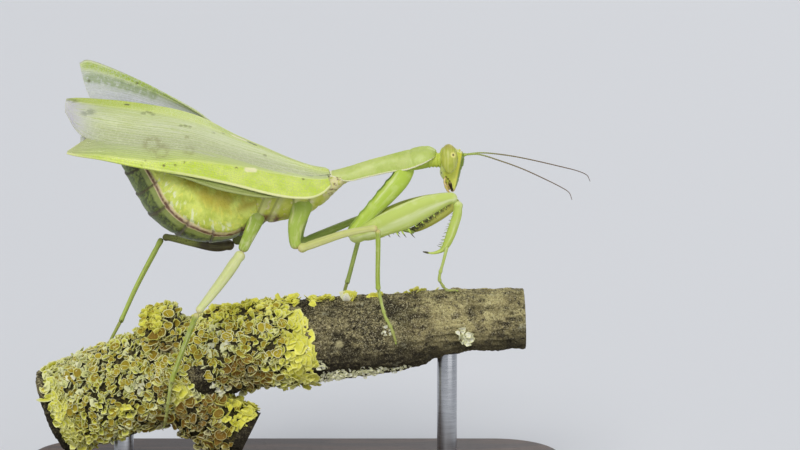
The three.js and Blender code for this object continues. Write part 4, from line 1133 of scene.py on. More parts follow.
# %% [markdown]
# ## Hindwings
# The hindwings are thinner still, a milky net with a green stripe along the front edge. The right one shows only
# as a sliver under its forewing. The left one has slipped up behind the others, and its surface runs through
# three measured curves: the front edge, the bend along its middle and the inner edge.

# %% Hindwings
RAISED_FRONT = [
    (3, 4.6, 69.7), (-6, 6.9, 73.6), (-14, 7.8, 77.9), (-19.5, 8.1, 81.7), (-26, 8.7, 85.4), (-34, 9.4, 89.2),
    (-40.6, 9.6, 91.7), (-42.8, 9.5, 91.2),
]
# The other two curves are measured on the roof: place along the body, share across, height over it.
RAISED_BEND = [(2.6, 0.9, -1), (-6, 0.98, -1.2), (-14, 1.02, -1.3), (-20, 1.05, -1.2), (-27, 1.06, -1), (-34, 1.06, -0.8),
               (-38.5, 1.06, -0.6), (-39.9, 1.06, -0.5)]
RAISED_INNER = [(1.2, 0.72, -1.3), (-7, 0.64, -1.9), (-14, 0.62, -2.1), (-20, 0.62, -2.2), (-26, 0.64, -2.1),
                (-31, 0.68, -1.9), (-34.2, 0.78, -1.6), (-35.6, 0.88, -1.4)]
HINDWING = {
    "front": tone(168, 190, 70), "front_edge": tone(184, 202, 94), "field": tone(204, 208, 210), "pale": tone(226, 227, 234),
    "vein": tone(150, 158, 136), "tip": tone(214, 217, 212), "apex": tone(168, 184, 100),
    "cream": tone(226, 228, 196), "rim_share": 0.3,
    "inner": tone(214, 216, 222), "inner_span": (0.5, 0.85),
}
HIND_FRONT_FIELD = [(0, 0.2), (0.3, 0.13), (0.7, 0.09), (0.9, 0.09), (1, 0.05)]
# The right hindwing gets darker olive copies of the hindwing's colours: painted shade under its forewing.
SHADED_UNDER_HINDWING = HINDWING | {
    "front": tone(150, 164, 84), "front_edge": tone(162, 172, 96), "field": tone(128, 132, 74), "pale": tone(170, 176, 118),
    "vein": tone(206, 208, 160), "cream": tone(170, 176, 110), "inner": tone(150, 156, 96),
}
RAISED_SCARS = [
    ([(0.6 + 0.03 * i, 0.155 + 0.002 * i) for i in range(11)], 0.95, tone(142, 162, 96), 0.7),
    ([(0.66, 0.06), (0.9, 0.2)], 0.3, tone(92, 88, 44), 0.8),
]
raised_rows = []
for i in range(WING_ROWS + 1):
    share = i / WING_ROWS
    raised_rows.append((Vector(through(RAISED_FRONT, share)) * MM, on_roof(*through(RAISED_BEND, share)),
                        on_roof(*through(RAISED_INNER, share))))


def raised_spot(u, v):
    front, bend, inner = raised_rows[round(u * WING_ROWS)]
    return front * ((1 - v) * (1 - 2 * v)) + bend * (4 * v * (1 - v)) + inner * (v * (2 * v - 1))


marks = [([raised_spot(u, v) / MM for u, v in centres], *rest) for centres, *rest in RAISED_SCARS]
finish = wing_finish("hindwing_left", HINDWING, marks, 0.66)
piece("hindwing_left_leaf", wing(raised_spot, HIND_FRONT_FIELD, 0.07), finish, "hindwing", "hindwing_left")
spot = folded_spot("hindwing_right")
finish = wing_finish("hindwing_right", SHADED_UNDER_HINDWING, (), 0.8)
piece("hindwing_right_leaf", wing(spot, HIND_FRONT_FIELD, 0.07), finish, "hindwing", "hindwing_right")

# %% [markdown]
# ## Parts of a leg
# Every leg has the same four lengths: coxa, thigh, shin and a foot of five small joints with a pair of claws. Each
# length is a limb of its own whose rounded ends sit inside one another like real joints, and all of them go into
# one mesh. A number on the points tells the finish which length it is painting.

# %% Parts of a leg
FOOT_JOINTS = (0.44, 0.6, 0.74, 0.85)
COXA, FEMUR, TIBIA, TARSUS, SPINE = range(5)


def joints(*rows):
    """Rows of x, y, z, radius and perhaps width over height, as joints."""
    return [(at(*r[:3]), *r[3:]) for r in rows]


def foot_relief(share, angle):
    """Each foot joint widens towards its end and is pinched off from the next."""
    return sum(0.09 * bell(share, s - 0.025, 0.03) - 0.06 * bell(share, s + 0.012, 0.012) for s in FOOT_JOINTS)


def ridged(count, height, ends=0.1):
    """Lengthwise ridges, and a swelling at both ends."""
    def relief(share, angle):
        middle = ease(0.04, 0.15, share) * ease(0.97, 0.88, share)
        swollen = ends * (bell(share, 0.05, 0.035) + bell(share, 0.955, 0.03)) - ends * 0.8 * bell(share, 0.11, 0.03)
        return height * math.cos(count * angle) * middle + swollen
    return relief


def claws(bm, run, size=0.85):
    """The two hooked claws at the end of a foot."""
    centre, side, up, ahead, half, radius = run.place(1)
    for spread in (-1, 1):
        point = centre + (ahead * 0.75 + side * 0.55 * spread) * size * MM
        horn(bm, centre - ahead * 0.1 * MM + side * 0.1 * spread * MM, point, 0.13, (ahead * 0.16 - up * 0.12) * size, power=0.6)


def leg(name, parts, reliefs, finish, extra=None, sides=24):
    """Makes a leg from its four lengths; extra(bm, runs) adds the spines."""
    bm = bmesh.new()
    runs = []
    for number, (part, relief) in enumerate(zip(parts, reliefs)):
        rings = 90 if number == TARSUS else 64
        hook = number == TIBIA and name.startswith("foreleg")
        tables = {"part": float(number), "tip": (lambda u, t: ease(0.78, 0.93, u)) if hook else 0.0}
        runs.append(limb(bm, part, rings, sides if number < TIBIA else 16, relief, values=tables))
    claws(bm, runs[TARSUS])
    if extra:
        extra(bm, runs)
    nodes = (f"{name}_{part}" for part in ("coxa", "femur", "tibia", "tarsus"))
    piece(f"{name}_skin", bm, finish, "cuticle_green", *nodes)


def leg_finish(name, coxa, femur, tibia, tarsus, pale, knee=None, marks=(), band=0.0):
    """Waxy skin with a colour for each length, pale streaks, and brown where a spine nears its tip."""
    f = Finish(name)
    u, v = f.wrapped()
    part, tip = f.value("part"), f.value("tip")
    cloud = f.noise(1.8, 3, 0.5)
    fine = f.noise(0.3, 3, 0.6)
    streak = f.noise(1.0, 3, 0.55, vector=f.vector(u * 2.2, v * 9.0, part * 3.0))
    skin = f.mix(part.step(0.4, 0.6), coxa, femur)
    skin = f.mix(part.step(1.4, 1.6), skin, tibia)
    skin = f.mix(part.step(2.4, 2.6), skin, tarsus)
    skin = f.mix(streak.step(0.5, 0.68) * 0.62, skin, pale)
    outer = (v + streak * 0.06).band(0.545, 0.035, 0.9) * u.step(0.02, 0.2) * part.band(1, 0.5, 0.1)
    skin = f.mix(outer * band, skin, tone(226, 232, 190))
    skin = f.mix(cloud.step(0.5, 0.7) * 0.25, skin, pale)
    ends = (u.step(0.07, 0.0) + u.step(0.95, 1.0)) * part.step(2.9, 2.6)
    skin = f.mix(ends * 0.6, skin, knee or pale)
    foot = part.step(2.4, 2.6) * u.step(0.4, 1.0)
    skin = f.mix(foot * 0.5, skin, tone(150, 140, 84))
    for centres, radius, colour, strength in marks:
        rough_edge = f.spots(centres, radius, 0.6) * fine.step(0.3, 0.5)
        skin = f.mix(rough_edge * strength, skin, colour)
    skin = f.mix(tip.step(0.32, 0.66) * 0.94, skin, tone(50, 34, 24))
    return f.surface({
        "Base Color": skin, "Roughness": fine * 0.2 + 0.5, "Normal": f.bump(fine * 0.5 + streak * 0.5, 0.06),
        "Subsurface Weight": 0.18, "Subsurface Radius": (0.8, 0.9, 0.3), "Subsurface Scale": 0.0008,
        "Specular IOR Level": 0.4,
    })


# %% [markdown]
# ## Forelegs
# The raptorial legs are folding traps. The thigh is deep and flat with two rows of spines along its lower edge,
# and the shin closes against it with two rows of its own and a strong hook at its end. The long outer spines are
# placed one by one; the inner row alternates long and short.

# %% Forelegs
FORELEGS = {
    RIGHT: (
        joints((23.9, 0.4, 71.6, 1.2, 0.95), (23.1, -0.6, 70.1, 1.6, 0.9), (21.4, -2.2, 67.9, 1.75, 0.85), (16.5, -3.4, 62.6, 1.4, 0.85),
               (13, -4.2, 58.7, 1.15, 0.9), (12, -4.5, 57.4, 1, 0.9)),
        joints((12, -4.6, 57.3, 1, 0.9), (14.2, -4.8, 58.1, 1.45, 0.8), (18, -5, 59.6, 2.2, 0.58),
               (22.6, -5.3, 61.5, 2.65, 0.5), (27.4, -5.6, 63.8, 2.25, 0.52), (31.4, -5.9, 65.4, 1.3, 0.75),
               (33.3, -6, 65.7, 1.05, 0.85)),
        joints((33.5, -6, 65, 0.85, 0.9), (33.3, -5.9, 62.4, 0.95, 0.8), (32.7, -5.7, 60.3, 1, 0.75),
               (31.9, -5.5, 57.9, 0.95, 0.75), (31, -5.2, 55.8, 0.72, 0.8), (30.1, -5, 54.95, 0.45, 0.9),
               (28.4, -4.8, 54.45, 0.27, 0.9), (26.5, -4.6, 54.7, 0.08, 1)),
        joints((31.3, -6.1, 55.9, 0.34), (30.6, -5.8, 53, 0.3), (29.8, -4.9, 49.5, 0.3), (30.3, -4.1, 48.1, 0.26),
               (31.4, -2.8, 46.7, 0.24), (33.2, -1.8, 46.5, 0.2)),
    ),
    LEFT: (
        joints((23.7, 0.1, 71.5, 1.2, 0.95), (22.9, 1.2, 69.9, 1.6, 0.9), (21.2, 2.5, 67.6, 1.75, 0.85), (16.3, 2.9, 62.1, 1.4, 0.85),
               (12.8, 3.2, 58.2, 1.15, 0.9), (11.9, 3.4, 57, 1, 0.9)),
        joints((11.9, 3.5, 56.9, 1, 0.9), (14, 3.7, 57.7, 1.45, 0.8), (17.8, 3.9, 59.1, 2.2, 0.58),
               (22.6, 4.1, 60.9, 2.65, 0.5), (27.6, 4.3, 62.6, 2.3, 0.52), (31.6, 4.5, 63.9, 1.35, 0.75),
               (33.5, 4.6, 64.3, 1, 0.85)),
        joints((33.8, 4.5, 63.9, 0.8, 0.85), (31.9, 4.2, 62.1, 1.0, 0.7), (29.2, 3.9, 60.3, 1.05, 0.7),
               (26.4, 3.7, 58.7, 0.9, 0.75), (24.6, 3.6, 57.9, 0.6, 0.8), (23, 3.6, 57.8, 0.35, 0.9),
               (21.6, 3.6, 58.5, 0.08, 1)),
        joints((24.9, 2.8, 57.5, 0.34), (22.4, 1.7, 58.3, 0.3), (18.8, 1, 59.3, 0.3), (16.4, 0.6, 59.6, 0.26),
               (14.8, 0.2, 59.2, 0.2)),
    ),
}
# Share of the thigh and length, for the outer and the inner row, then the same for the shin.
THIGH_OUTER = ((0.4, 1.1), (0.445, 1.6), (0.5, 2.3), (0.565, 0.95), (0.63, 1.1), (0.69, 0.9), (0.75, 1.0), (0.81, 0.7), (0.87, 0.6))
THIGH_INNER = tuple((0.27 + 0.043 * i, 1.15 if i % 2 else 0.7) for i in range(15))
SHIN_OUTER = tuple((0.16 + 0.058 * i, 0.35 + 0.045 * i) for i in range(10))
SHIN_INNER = tuple((0.14 + 0.048 * i, 0.3 + 0.05 * i) for i in range(13))


def deep_thigh(share, angle):
    """Thigh: a groove for the shin between its two rows, a crest along the back and a ring where it starts."""
    low = bell(math.sin(angle), -1, 0.16)
    crest = bell(math.sin(angle), 1, 0.1)
    trapping = ease(0.24, 0.34, share) * ease(0.97, 0.88, share)
    face = 0.07 * math.cos(5 * angle) * ease(0.12, 0.3, share) * ease(0.95, 0.8, share)
    ring = -0.16 * bell(share, 0.115, 0.02) + 0.08 * bell(share, 0.06, 0.03)
    return -0.28 * low * trapping + 0.1 * crest * trapping + face * 0.6 + ring


def toothed_coxa(share, angle):
    """Coxa: three-sided, with a few blunt teeth along its front edge."""
    front = bell(math.sin(angle), -1, 0.2)
    teeth = 0.14 * max(0, math.sin(share * 44)) * front * ease(0.12, 0.2, share) * ease(0.9, 0.8, share)
    return 0.1 * math.cos(3 * angle) * ease(0, 0.2, share) * ease(1, 0.85, share) + teeth


def comb(bm, run, table, side_sign, lean, radius):
    """A row of spines along the lower edge of a length, outward to one side by side_sign."""
    for share, size in table:
        centre, side, up, ahead, half, tall = run.place(share)
        root = centre - up * tall * 0.78 + side * half * 0.42 * side_sign
        point = (-up + side * 0.34 * side_sign + ahead * lean).normalized()
        horn(bm, root, root + point * (size + 0.25) * MM, radius * size ** 0.5, -ahead * 0.05 * size, 9, 9, 0.8)


def trap_spines(outer):
    """The spines of a foreleg whose outer face is on the given side."""
    def add(bm, runs):
        for table, part, side, lean, radius in (
                (THIGH_OUTER, FEMUR, outer, 0.25, 0.17), (THIGH_INNER, FEMUR, -outer, 0.3, 0.12),
                (SHIN_OUTER, TIBIA, outer, 0.55, 0.12), (SHIN_INNER, TIBIA, -outer, 0.55, 0.1)):
            comb(bm, runs[part], table, side, lean, radius)
    return add


GREEN, LIGHT_GREEN, WAX = tone(180, 204, 76), tone(192, 208, 104), tone(222, 228, 168)
# Dark blotches on the inner face of the left trap, along the right thigh's lower edge: partly the trap's own black
# marks, partly painted shade between the right thigh's spines.
FACE_MARKS = (
    ((23.65, 3.2, 57.75), (24.5, 3.2, 58.05), (25.3, 3.2, 58.55), (26.2, 3.2, 59.1), (27.3, 3.2, 60.05)),
    ((28.2, 3.2, 60.65), (29.3, 3.2, 61.5), (30.2, 3.2, 62.1), (31.0, 3.2, 62.7), (31.7, 3.2, 63.1)),
)
for outer, name in SIDES.items():
    parts = FORELEGS[outer]
    if outer == LEFT:
        marks = [(FACE_MARKS[0], 0.8, tone(30, 28, 16), 0.95), (FACE_MARKS[1], 0.66, tone(30, 28, 16), 0.9)]
        # The far trap gets darker, olive copies of the near trap's greens: painted shade on the far side of the body.
        tones = (tone(150, 180, 66), tone(166, 172, 66), tone(176, 176, 74), tone(150, 172, 80), tone(186, 192, 104))
    else:
        marks = []
        tones = (GREEN, LIGHT_GREEN, tone(190, 208, 96), tone(184, 200, 104), WAX)
    leg(f"foreleg_{name}", parts, (toothed_coxa, deep_thigh, ridged(2, 0.04, 0.06), foot_relief),
        leg_finish(f"foreleg_{name}", *tones, marks=marks, band=0.4 if outer == RIGHT else 0.0), trap_spines(outer), 40)

# %% [markdown]
# ## Walking legs
# The four walking legs are slender. Their thighs carry fine lengthwise keels, their shins a pair of small spurs
# at the end, and the knees are a warmer colour than the rest. The feet are set down on the bark.

# %% Walking legs
WALKING = {
    "midleg_right": (
        joints((3.0, -2.3, 65.7, 2.5, 0.75), (2.1, -3.3, 62.2, 1.95, 0.8), (1.4, -4.1, 60, 1.6, 0.8), (1.2, -4.7, 57, 1.15, 0.9),
               (1.7, -5, 55.3, 1.05, 0.95)),
        joints((1.8, -5.1, 55.3, 0.85), (3.4, -5.5, 55.8, 0.85), (6.4, -6.6, 57, 0.8), (11.2, -8.2, 58.8, 0.72),
               (16.2, -9.7, 60, 0.6), (17.6, -9.9, 60.1, 0.62)),
        joints((17.7, -9.9, 59.9, 0.5), (17.7, -8.9, 56, 0.44), (17.6, -6.9, 49.6, 0.42), (17.7, -6.2, 47.2, 0.45)),
        joints((17.7, -6.2, 47.5, 0.36), (19, -7.45, 42.4, 0.3), (20.3, -8.7, 40, 0.3), (21.2, -8.95, 37.3, 0.26)),
    ),
    "midleg_left": (
        joints((2.6, 2.6, 64.8, 1.9, 0.8), (2, 4, 61, 1.65, 0.8), (1.4, 4.5, 57, 1.15, 0.9), (1.7, 4.6, 55.2, 1.05, 0.95)),
        joints((1.8, 4.7, 55.1, 0.85), (3.4, 5.2, 55.6, 0.85), (6.4, 6.6, 56.7, 0.8), (10.6, 8.7, 58.2, 0.72),
               (13.8, 10.6, 59.3, 0.6), (14.8, 11.2, 59.5, 0.62)),
        joints((14.9, 11.2, 59.3, 0.5), (13.6, 10, 55.2, 0.44), (11.6, 7.6, 47.8, 0.42), (11.1, 6.9, 46.2, 0.45)),
        joints((11.15, 6.95, 46.5, 0.36), (9.9, 7.35, 41.9, 0.3), (9.2, 8.6, 39.5, 0.3), (8.9, 9.3, 36.6, 0.26)),
    ),
    "hindleg_right": (
        joints((-6.1, -1.5, 62.5, 1.75, 0.85), (-6.8, -3.1, 60.4, 1.5, 0.85), (-7.5, -4.1, 58.8, 1.3, 0.9), (-8.8, -4.9, 56, 1.05, 0.95),
               (-9.2, -5.2, 54.7, 1, 0.95)),
        joints((-9.2, -5.3, 54.7, 0.95), (-10.6, -7.2, 52.8, 1.1), (-12.2, -10, 50.6, 1.05), (-14.6, -14, 47.7, 0.9),
               (-16.6, -16.9, 45.4, 0.68), (-17.1, -17.5, 44.8, 0.7)),
        joints((-17.2, -17.4, 44.6, 0.55), (-20.2, -13.7, 37.3, 0.46), (-22.6, -11.2, 31, 0.42), (-23.1, -10.8, 29.5, 0.45)),
        joints((-23.1, -10.8, 29.8, 0.36), (-23.8, -10.25, 25.6, 0.3), (-24.4, -8.6, 22.3, 0.3), (-25, -6.6, 19.9, 0.26)),
    ),
    "hindleg_left": (
        joints((-4.2, 2.4, 63, 1.7, 0.85), (-7, 4.8, 59.6, 1.35, 0.9), (-10.4, 5.6, 56.2, 1.05, 0.95),
               (-11.6, 5.7, 54.8, 1, 0.95)),
        joints((-11.7, 5.8, 54.6, 0.95), (-15.4, 7.2, 54, 1.1), (-20.5, 9.5, 54.5, 0.9), (-25.6, 12, 55.1, 0.66),
               (-26.8, 12.5, 55.1, 0.7)),
        joints((-27, 12.5, 54.9, 0.55), (-31.9, 9.6, 45.6, 0.46), (-34.6, 7.4, 39.6, 0.42), (-35.2, 7, 38.2, 0.45)),
        joints((-35.15, 7, 38.5, 0.36), (-37.6, 6.7, 33.7, 0.3), (-38.6, 8.7, 30.4, 0.3), (-39.2, 9.6, 26.6, 0.26)),
    ),
}
WALKING_TONES = {
    "midleg_right": (tone(164, 186, 76), tone(204, 206, 128), tone(170, 190, 78), tone(166, 180, 88), tone(220, 220, 160), tone(220, 190, 140)),
    # The far middle leg has darker copies of the near leg's tones: painted shade under the body.
    "midleg_left": (tone(130, 152, 70), tone(134, 154, 64), tone(154, 172, 86), tone(160, 170, 90), tone(176, 186, 112)),
    "hindleg_right": (tone(154, 176, 68), tone(214, 220, 152), tone(166, 182, 76), tone(160, 170, 84), tone(228, 226, 184),
                      tone(218, 200, 150)),
    # The far hind leg is darkest, its thigh and knee near-black brown: painted shade under the belly.
    "hindleg_left": (tone(90, 100, 44), tone(74, 66, 40), tone(172, 190, 88), tone(164, 174, 90), tone(112, 110, 62), tone(80, 72, 44)),
}


# The far hind thigh is painted dark as the belly's shade up to the body, and lighter olive at its knee.
FAR_KNEE = [([(-26.0 + 1.6 * i, 9.0, 57.2 - 0.2 * i) for i in range(4)], 2.7, tone(170, 180, 84), 0.9)]


def spurs(bm, runs):
    """The pair of spurs at the end of a shin."""
    centre, side, up, ahead, half, tall = runs[TIBIA].place(0.955)
    for spread in (-1, 1):
        root = centre + side * half * 0.6 * spread
        horn(bm, root, root + (ahead * 1.0 + side * 0.5 * spread) * 0.9 * MM, 0.13)


for name, parts in WALKING.items():
    leg(name, parts, (ridged(3, 0.08, 0.05), ridged(5, 0.05, 0.09), ridged(4, 0.03, 0.07), foot_relief),
        leg_finish(name, *WALKING_TONES[name], marks=FAR_KNEE if name == "hindleg_left" else ()), spurs)

# %% [markdown]
# ## Bark
# The branch is two wrapped tubes, a trunk and a fork. Their radius carries the bark: slow swellings, lengthwise
# wrinkles, a knot and fine grain. Where lichen grows the bark lies deeper and swells in cushions, because the
# lobes that come later must fill it up again. Both ends are flat saw cuts. What the finish must know is stored on
# the points: how much lichen covers them, how deep they lie, and how far they are from the heart of a cut.

# %% Bark
UPWARD = Vector((0, 1, 0))
BRANCH = Run(joints(
    (-48, 0.5, 21, 9.1), (-44.5, 0.5, 22.4, 9.3), (-33.6, 0, 26.4, 9.7), (-23.5, -0.4, 30.2, 9.9), (-12, -0.3, 34.3, 8.9),
    (2, 0, 35.8, 8.9), (12, 0.2, 36.7, 8.3), (21.2, 0.2, 37.6, 8), (32, 0, 39.8, 6.7), (42, -0.2, 40.4, 6.3),
    (47, -0.2, 40.6, 6.2)), UPWARD)
FORK = Run(joints((-23, -1.5, 27.5, 7), (-17.5, -2.2, 21.8, 6.4), (-12.5, -2.6, 18.6, 6), (-8.5, -2.8, 16.6, 5.9)), UPWARD)
KNOT = (11.0, -0.1)
CUT_RINGS = 7


def patch(x, up, centre, spread):
    """1 at a place on the side of the branch, falling off round it; up is the height as a share of the radius."""
    return math.exp(-(((x - centre[0]) / spread[0]) ** 2) - ((up - centre[1]) / spread[1]) ** 2)


def lichen_cover(run, x, up, front, spot):
    """How much of the bark lichen covers here, from 0 to 1; front is 1 on the near side."""
    ragged = noise.noise(spot * 0.45) + 0.4 * noise.noise(spot * 1.3)
    if run is FORK:
        cover = ease(-10.1, -10.9, x + ragged) * ease(-0.75, -0.35, up + 0.5 * front + 0.5 * ragged + 0.5)
        return cover * (1 - 0.95 * patch(x, up, (-20.5, 0.75), (3.0, 0.5)) * ease(-0.2, 0.2, front))
    right = 2.9 + 0.7 * bell(up, -0.5, 0.4) - 4.6 * ease(0.55, 1, up) + 1.5 * ragged
    cover = ease(right + 0.3, right - 0.3, x) * ease(-47.3, -46.7, x + 0.6 * ragged)
    near = ease(-0.1, 0.3, front)
    cover *= 1 - near * min(1, 1.5 * patch(x, up, (-18.6, -0.28), (1.7, 0.36)))
    cover *= 1 - near * min(1, 1.4 * patch(x, up, (-14.6, -0.85), (5.0, 0.16)))
    gaps = noise.noise(spot * 0.16 + Vector((7, 3, 1)))
    cover *= ease(-0.3, -0.18, gaps + 0.6 * near + 0.1)
    return cover * ease(-1.02, -0.9, up + 0.25 * ragged)


def bark_height(run, x, angle, spot):
    """The bark's height over the measured radius, in millimetres, with the lichen cover there."""
    up, front = math.sin(angle), -math.cos(angle)
    cover = lichen_cover(run, x, up, front, spot)
    long = Vector((spot.x * 0.22, spot.y * 0.9, spot.z * 0.9))
    wrinkles = abs(noise.noise(long * 0.9)) * -0.7 + 0.28 * noise.noise(long * 2.1)
    bare = wrinkles + 0.22 * noise.noise(spot * 0.35) + 0.16 * noise.noise(spot * 1.4) + 0.07 * noise.noise(spot * 3.6)
    knot = math.hypot(x - KNOT[0], (up - KNOT[1]) * 8) if run is BRANCH and front > 0 else 9
    bare += 0.3 * bell(knot, 1.7, 0.5) - 0.25 * bell(knot, 2.6, 0.5) + 0.12 * bell(knot, 0, 0.6)
    bare -= 0.5 * ease(0.1, 0.5, noise.noise(spot * 0.22 + Vector((0, 5, 9))))
    cushion = 0.55 * noise.noise(spot * 0.32) + 0.4 * noise.noise(spot * 0.8) + 0.12 * noise.noise(spot * 2.2)
    if run is BRANCH:
        lump = 3.4 * ease(-26.8, -24.6, x) * ease(-17.9, -19.8, x)
        cushion += (lump - 1.0 * bell(x, -17.6, 1.2)) * ease(0.5, 0.95, up)
    return blend(bare - 0.1, cushion - 0.85, cover), cover


def bark_point(run, share, angle):
    """A point of the bark's skin, with its outward direction, its height and its cover."""
    centre, side, up, ahead, half, radius = run.place(share)
    outward = side * math.cos(angle) + up * math.sin(angle)
    spot = (centre + outward * radius) / MM
    height, cover = bark_height(run, centre.x / MM, angle, spot)
    return centre, outward, ahead, radius / MM + height, height, cover


def bark(bm, run, rings, sides):
    """Wraps the bark of one length, with a flat saw cut at both ends."""
    net = []
    for i in range(rings + 1):
        near = min(i, rings - i)
        share = blend(0, 1, max(0, min(1, (i - CUT_RINGS) / (rings - 2 * CUT_RINGS))))
        closing = 1 if near > CUT_RINGS else math.sin(math.pi / 2 * near / CUT_RINGS) if near < CUT_RINGS else 1
        line = []
        for j in range(sides):
            centre, outward, ahead, reach, height, cover = bark_point(run, share, 2 * math.pi * j / sides)
            place = centre + outward * reach * closing * MM
            line.append((place, cover, height, 1.0 if near < CUT_RINGS else 0.0, reach * closing))
        net.append(line)

    def cell(u, t, k):
        return net[round(u * rings)][round(t * sides) % sides][k]

    wrap(bm, rings, sides, lambda u, t: cell(u, t, 0), None, {
        "cover": lambda u, t: cell(u, t, 1), "height": lambda u, t: cell(u, t, 2),
        "cut": lambda u, t: cell(u, t, 3), "heart": lambda u, t: cell(u, t, 4)})


# %% [markdown]
# The bark's colour is layered like the real thing. Over brown wood lies a film of grey-green algae and khaki
# crust, then black grain and pits, then white flecks. Painted shade darkens the hollows and the lower side, and
# under the lichen the bark is painted nearly black as shade, which gives the lobes their deep shadows.

# %% Bark finish
def bark_finish():
    f = Finish("bark")
    x, y, z = f.axes()
    cover, height, cut, heart = (f.value(n) for n in ("cover", "height", "cut", "heart"))
    broad = f.noise(7.0, 4, 0.6)
    other = f.noise(4.2, 4, 0.65, 0.4)
    patchy = f.noise(1.6, 5, 0.7)
    grain = f.noise(0.55, 4, 0.75)
    speck = f.noise(0.28, 3, 0.8)
    pits = f.cells(1.25)
    skin = f.mix(broad.step(0.35, 0.65), tone(106, 94, 68), tone(136, 126, 92))
    skin = f.mix(patchy.step(0.42, 0.62) * 0.8, skin, tone(150, 138, 94))
    skin = f.mix(grain.step(0.5, 0.64) * 0.75, skin, tone(196, 184, 134))
    right = x.step(12.0, 26.0) * (z - x * 0.12 - 35.0).step(-2.0, 2.5)
    khaki = other.step(0.42, 0.56) * (right * 0.8 + 0.2) * grain.step(0.36, 0.5)
    skin = f.mix(khaki, skin, f.mix(grain.step(0.35, 0.6), tone(170, 159, 104), tone(204, 194, 140)))
    skin = f.mix(other.step(0.5, 0.4) * patchy.step(0.56, 0.44) * 0.85, skin, tone(62, 51, 34))
    # The lower side of the branch gets black grain as painted shade, on top of the bark's own dark patches.
    under = (z - x * 0.13 - 30.0).step(1.5, -1.5)
    black = broad.step(0.55, 0.43).maths("MAXIMUM", under) * grain.step(0.66, 0.42)
    skin = f.mix(black * 0.8, skin, tone(36, 32, 22))
    # Painted shade: the sunken hollows of the bare bark are darkened.
    skin = f.mix(height.step(-0.25, -0.7) * (1 - cover) * 0.7, skin, tone(40, 34, 22))
    skin = f.mix(speck.step(0.49, 0.39) * 0.9, skin, tone(30, 26, 16))
    skin = f.mix(pits.step(0.2, 0.12) * patchy.step(0.4, 0.55) * 0.9, skin, tone(26, 22, 14))
    skin = f.mix(speck.step(0.56, 0.64) * 0.8, skin, tone(222, 214, 178))
    skin = f.mix(x.step(20.0, 32.0) * patchy.step(0.38, 0.55) * 0.3, skin, tone(208, 194, 134))
    crust = other.step(0.62, 0.7) * grain.step(0.42, 0.56)
    skin = f.mix(crust * 0.6, skin, tone(190, 188, 158))
    shade = x.step(24.0, 8.0) * grain.step(0.62, 0.4) * 0.4 + (z - x * 0.13 - 33.0).step(2.5, -3.0) * 0.72
    skin = f.mix(shade, skin, tone(39, 33, 21))
    centres = [tuple(knot_centre)]
    skin = f.mix(f.spots(centres, 0.75, 0.5) * grain.step(0.3, 0.5), skin, tone(204, 194, 146))
    # Painted shade: under the lichen the bark is nearly black, so the gaps between the lobes read as deep shadow.
    skin = f.mix(cover.step(0.35, 0.8) * 0.88, skin, f.mix(grain.step(0.45, 0.65), tone(44, 39, 20), tone(96, 88, 44)))
    rings = (heart + other * 1.6).maths("PINGPONG", 0.42).step(0.1, 0.4)
    rays = f.noise(1.0, 3, 0.6, vector=f.vector(x * 0.2, y * 0.5, z * 0.5))
    wood = f.mix(rings * 0.6, tone(206, 178, 124), tone(166, 128, 76))
    wood = f.mix(rays.step(0.5, 0.7) * 0.35, wood, tone(150, 120, 76))
    wood = f.mix(heart.step(1.2, 0.3) * 0.6, wood, tone(120, 82, 48))
    skin = f.mix(cut.step(0.5, 0.9), skin, wood)
    relief = grain * 0.5 + patchy * 0.5 + speck * 0.3 - pits.step(0.2, 0.08) * 0.5
    return f.surface({
        "Base Color": skin, "Roughness": patchy * 0.2 + 0.72, "Normal": f.bump(relief * (1 - cut * 0.8), 0.6),
        "Specular IOR Level": 0.3,
    })


TRUNK_RINGS, TRUNK_SIDES = 400, 188
FORK_RINGS, FORK_SIDES = 120, 128
near_side = math.pi
centre, outward, ahead, reach, height, cover = bark_point(BRANCH, (KNOT[0] + 48) / 95.5, near_side)
knot_centre = centre / MM + outward * reach
bm = bmesh.new()
bark(bm, BRANCH, TRUNK_RINGS, TRUNK_SIDES)
bark(bm, FORK, FORK_RINGS, FORK_SIDES)
piece("branch_bark", bm, bark_finish(), "branch", "perch_branch")

# %% [markdown]
# ## Lobes and cups
# The lichen is two small shapes repeated: a crumpled lobe like a scrap of leaf, and a cup with a raised rim. A
# handful of each is modelled, a millimetre across, with the points marked by how near they are to the edge. Every
# copy is turned, scaled and tinted on its own, which is what makes a few dozen faces look like a living crust.

# %% Lobes and cups
LICHEN_VALUES = ("zone", "bright", "brown", "ash", "luck")


def keep_as_mesh(bm, name):
    """Stores a small shape as a mesh, with room for the numbers that each copy sets."""
    bmesh.ops.recalc_face_normals(bm, faces=bm.faces)
    mesh = bpy.data.meshes.new(name)
    bm.to_mesh(mesh)
    bm.free()
    for value in LICHEN_VALUES:
        if value not in mesh.attributes:
            mesh.attributes.new(value, "FLOAT", "POINT")
    return mesh


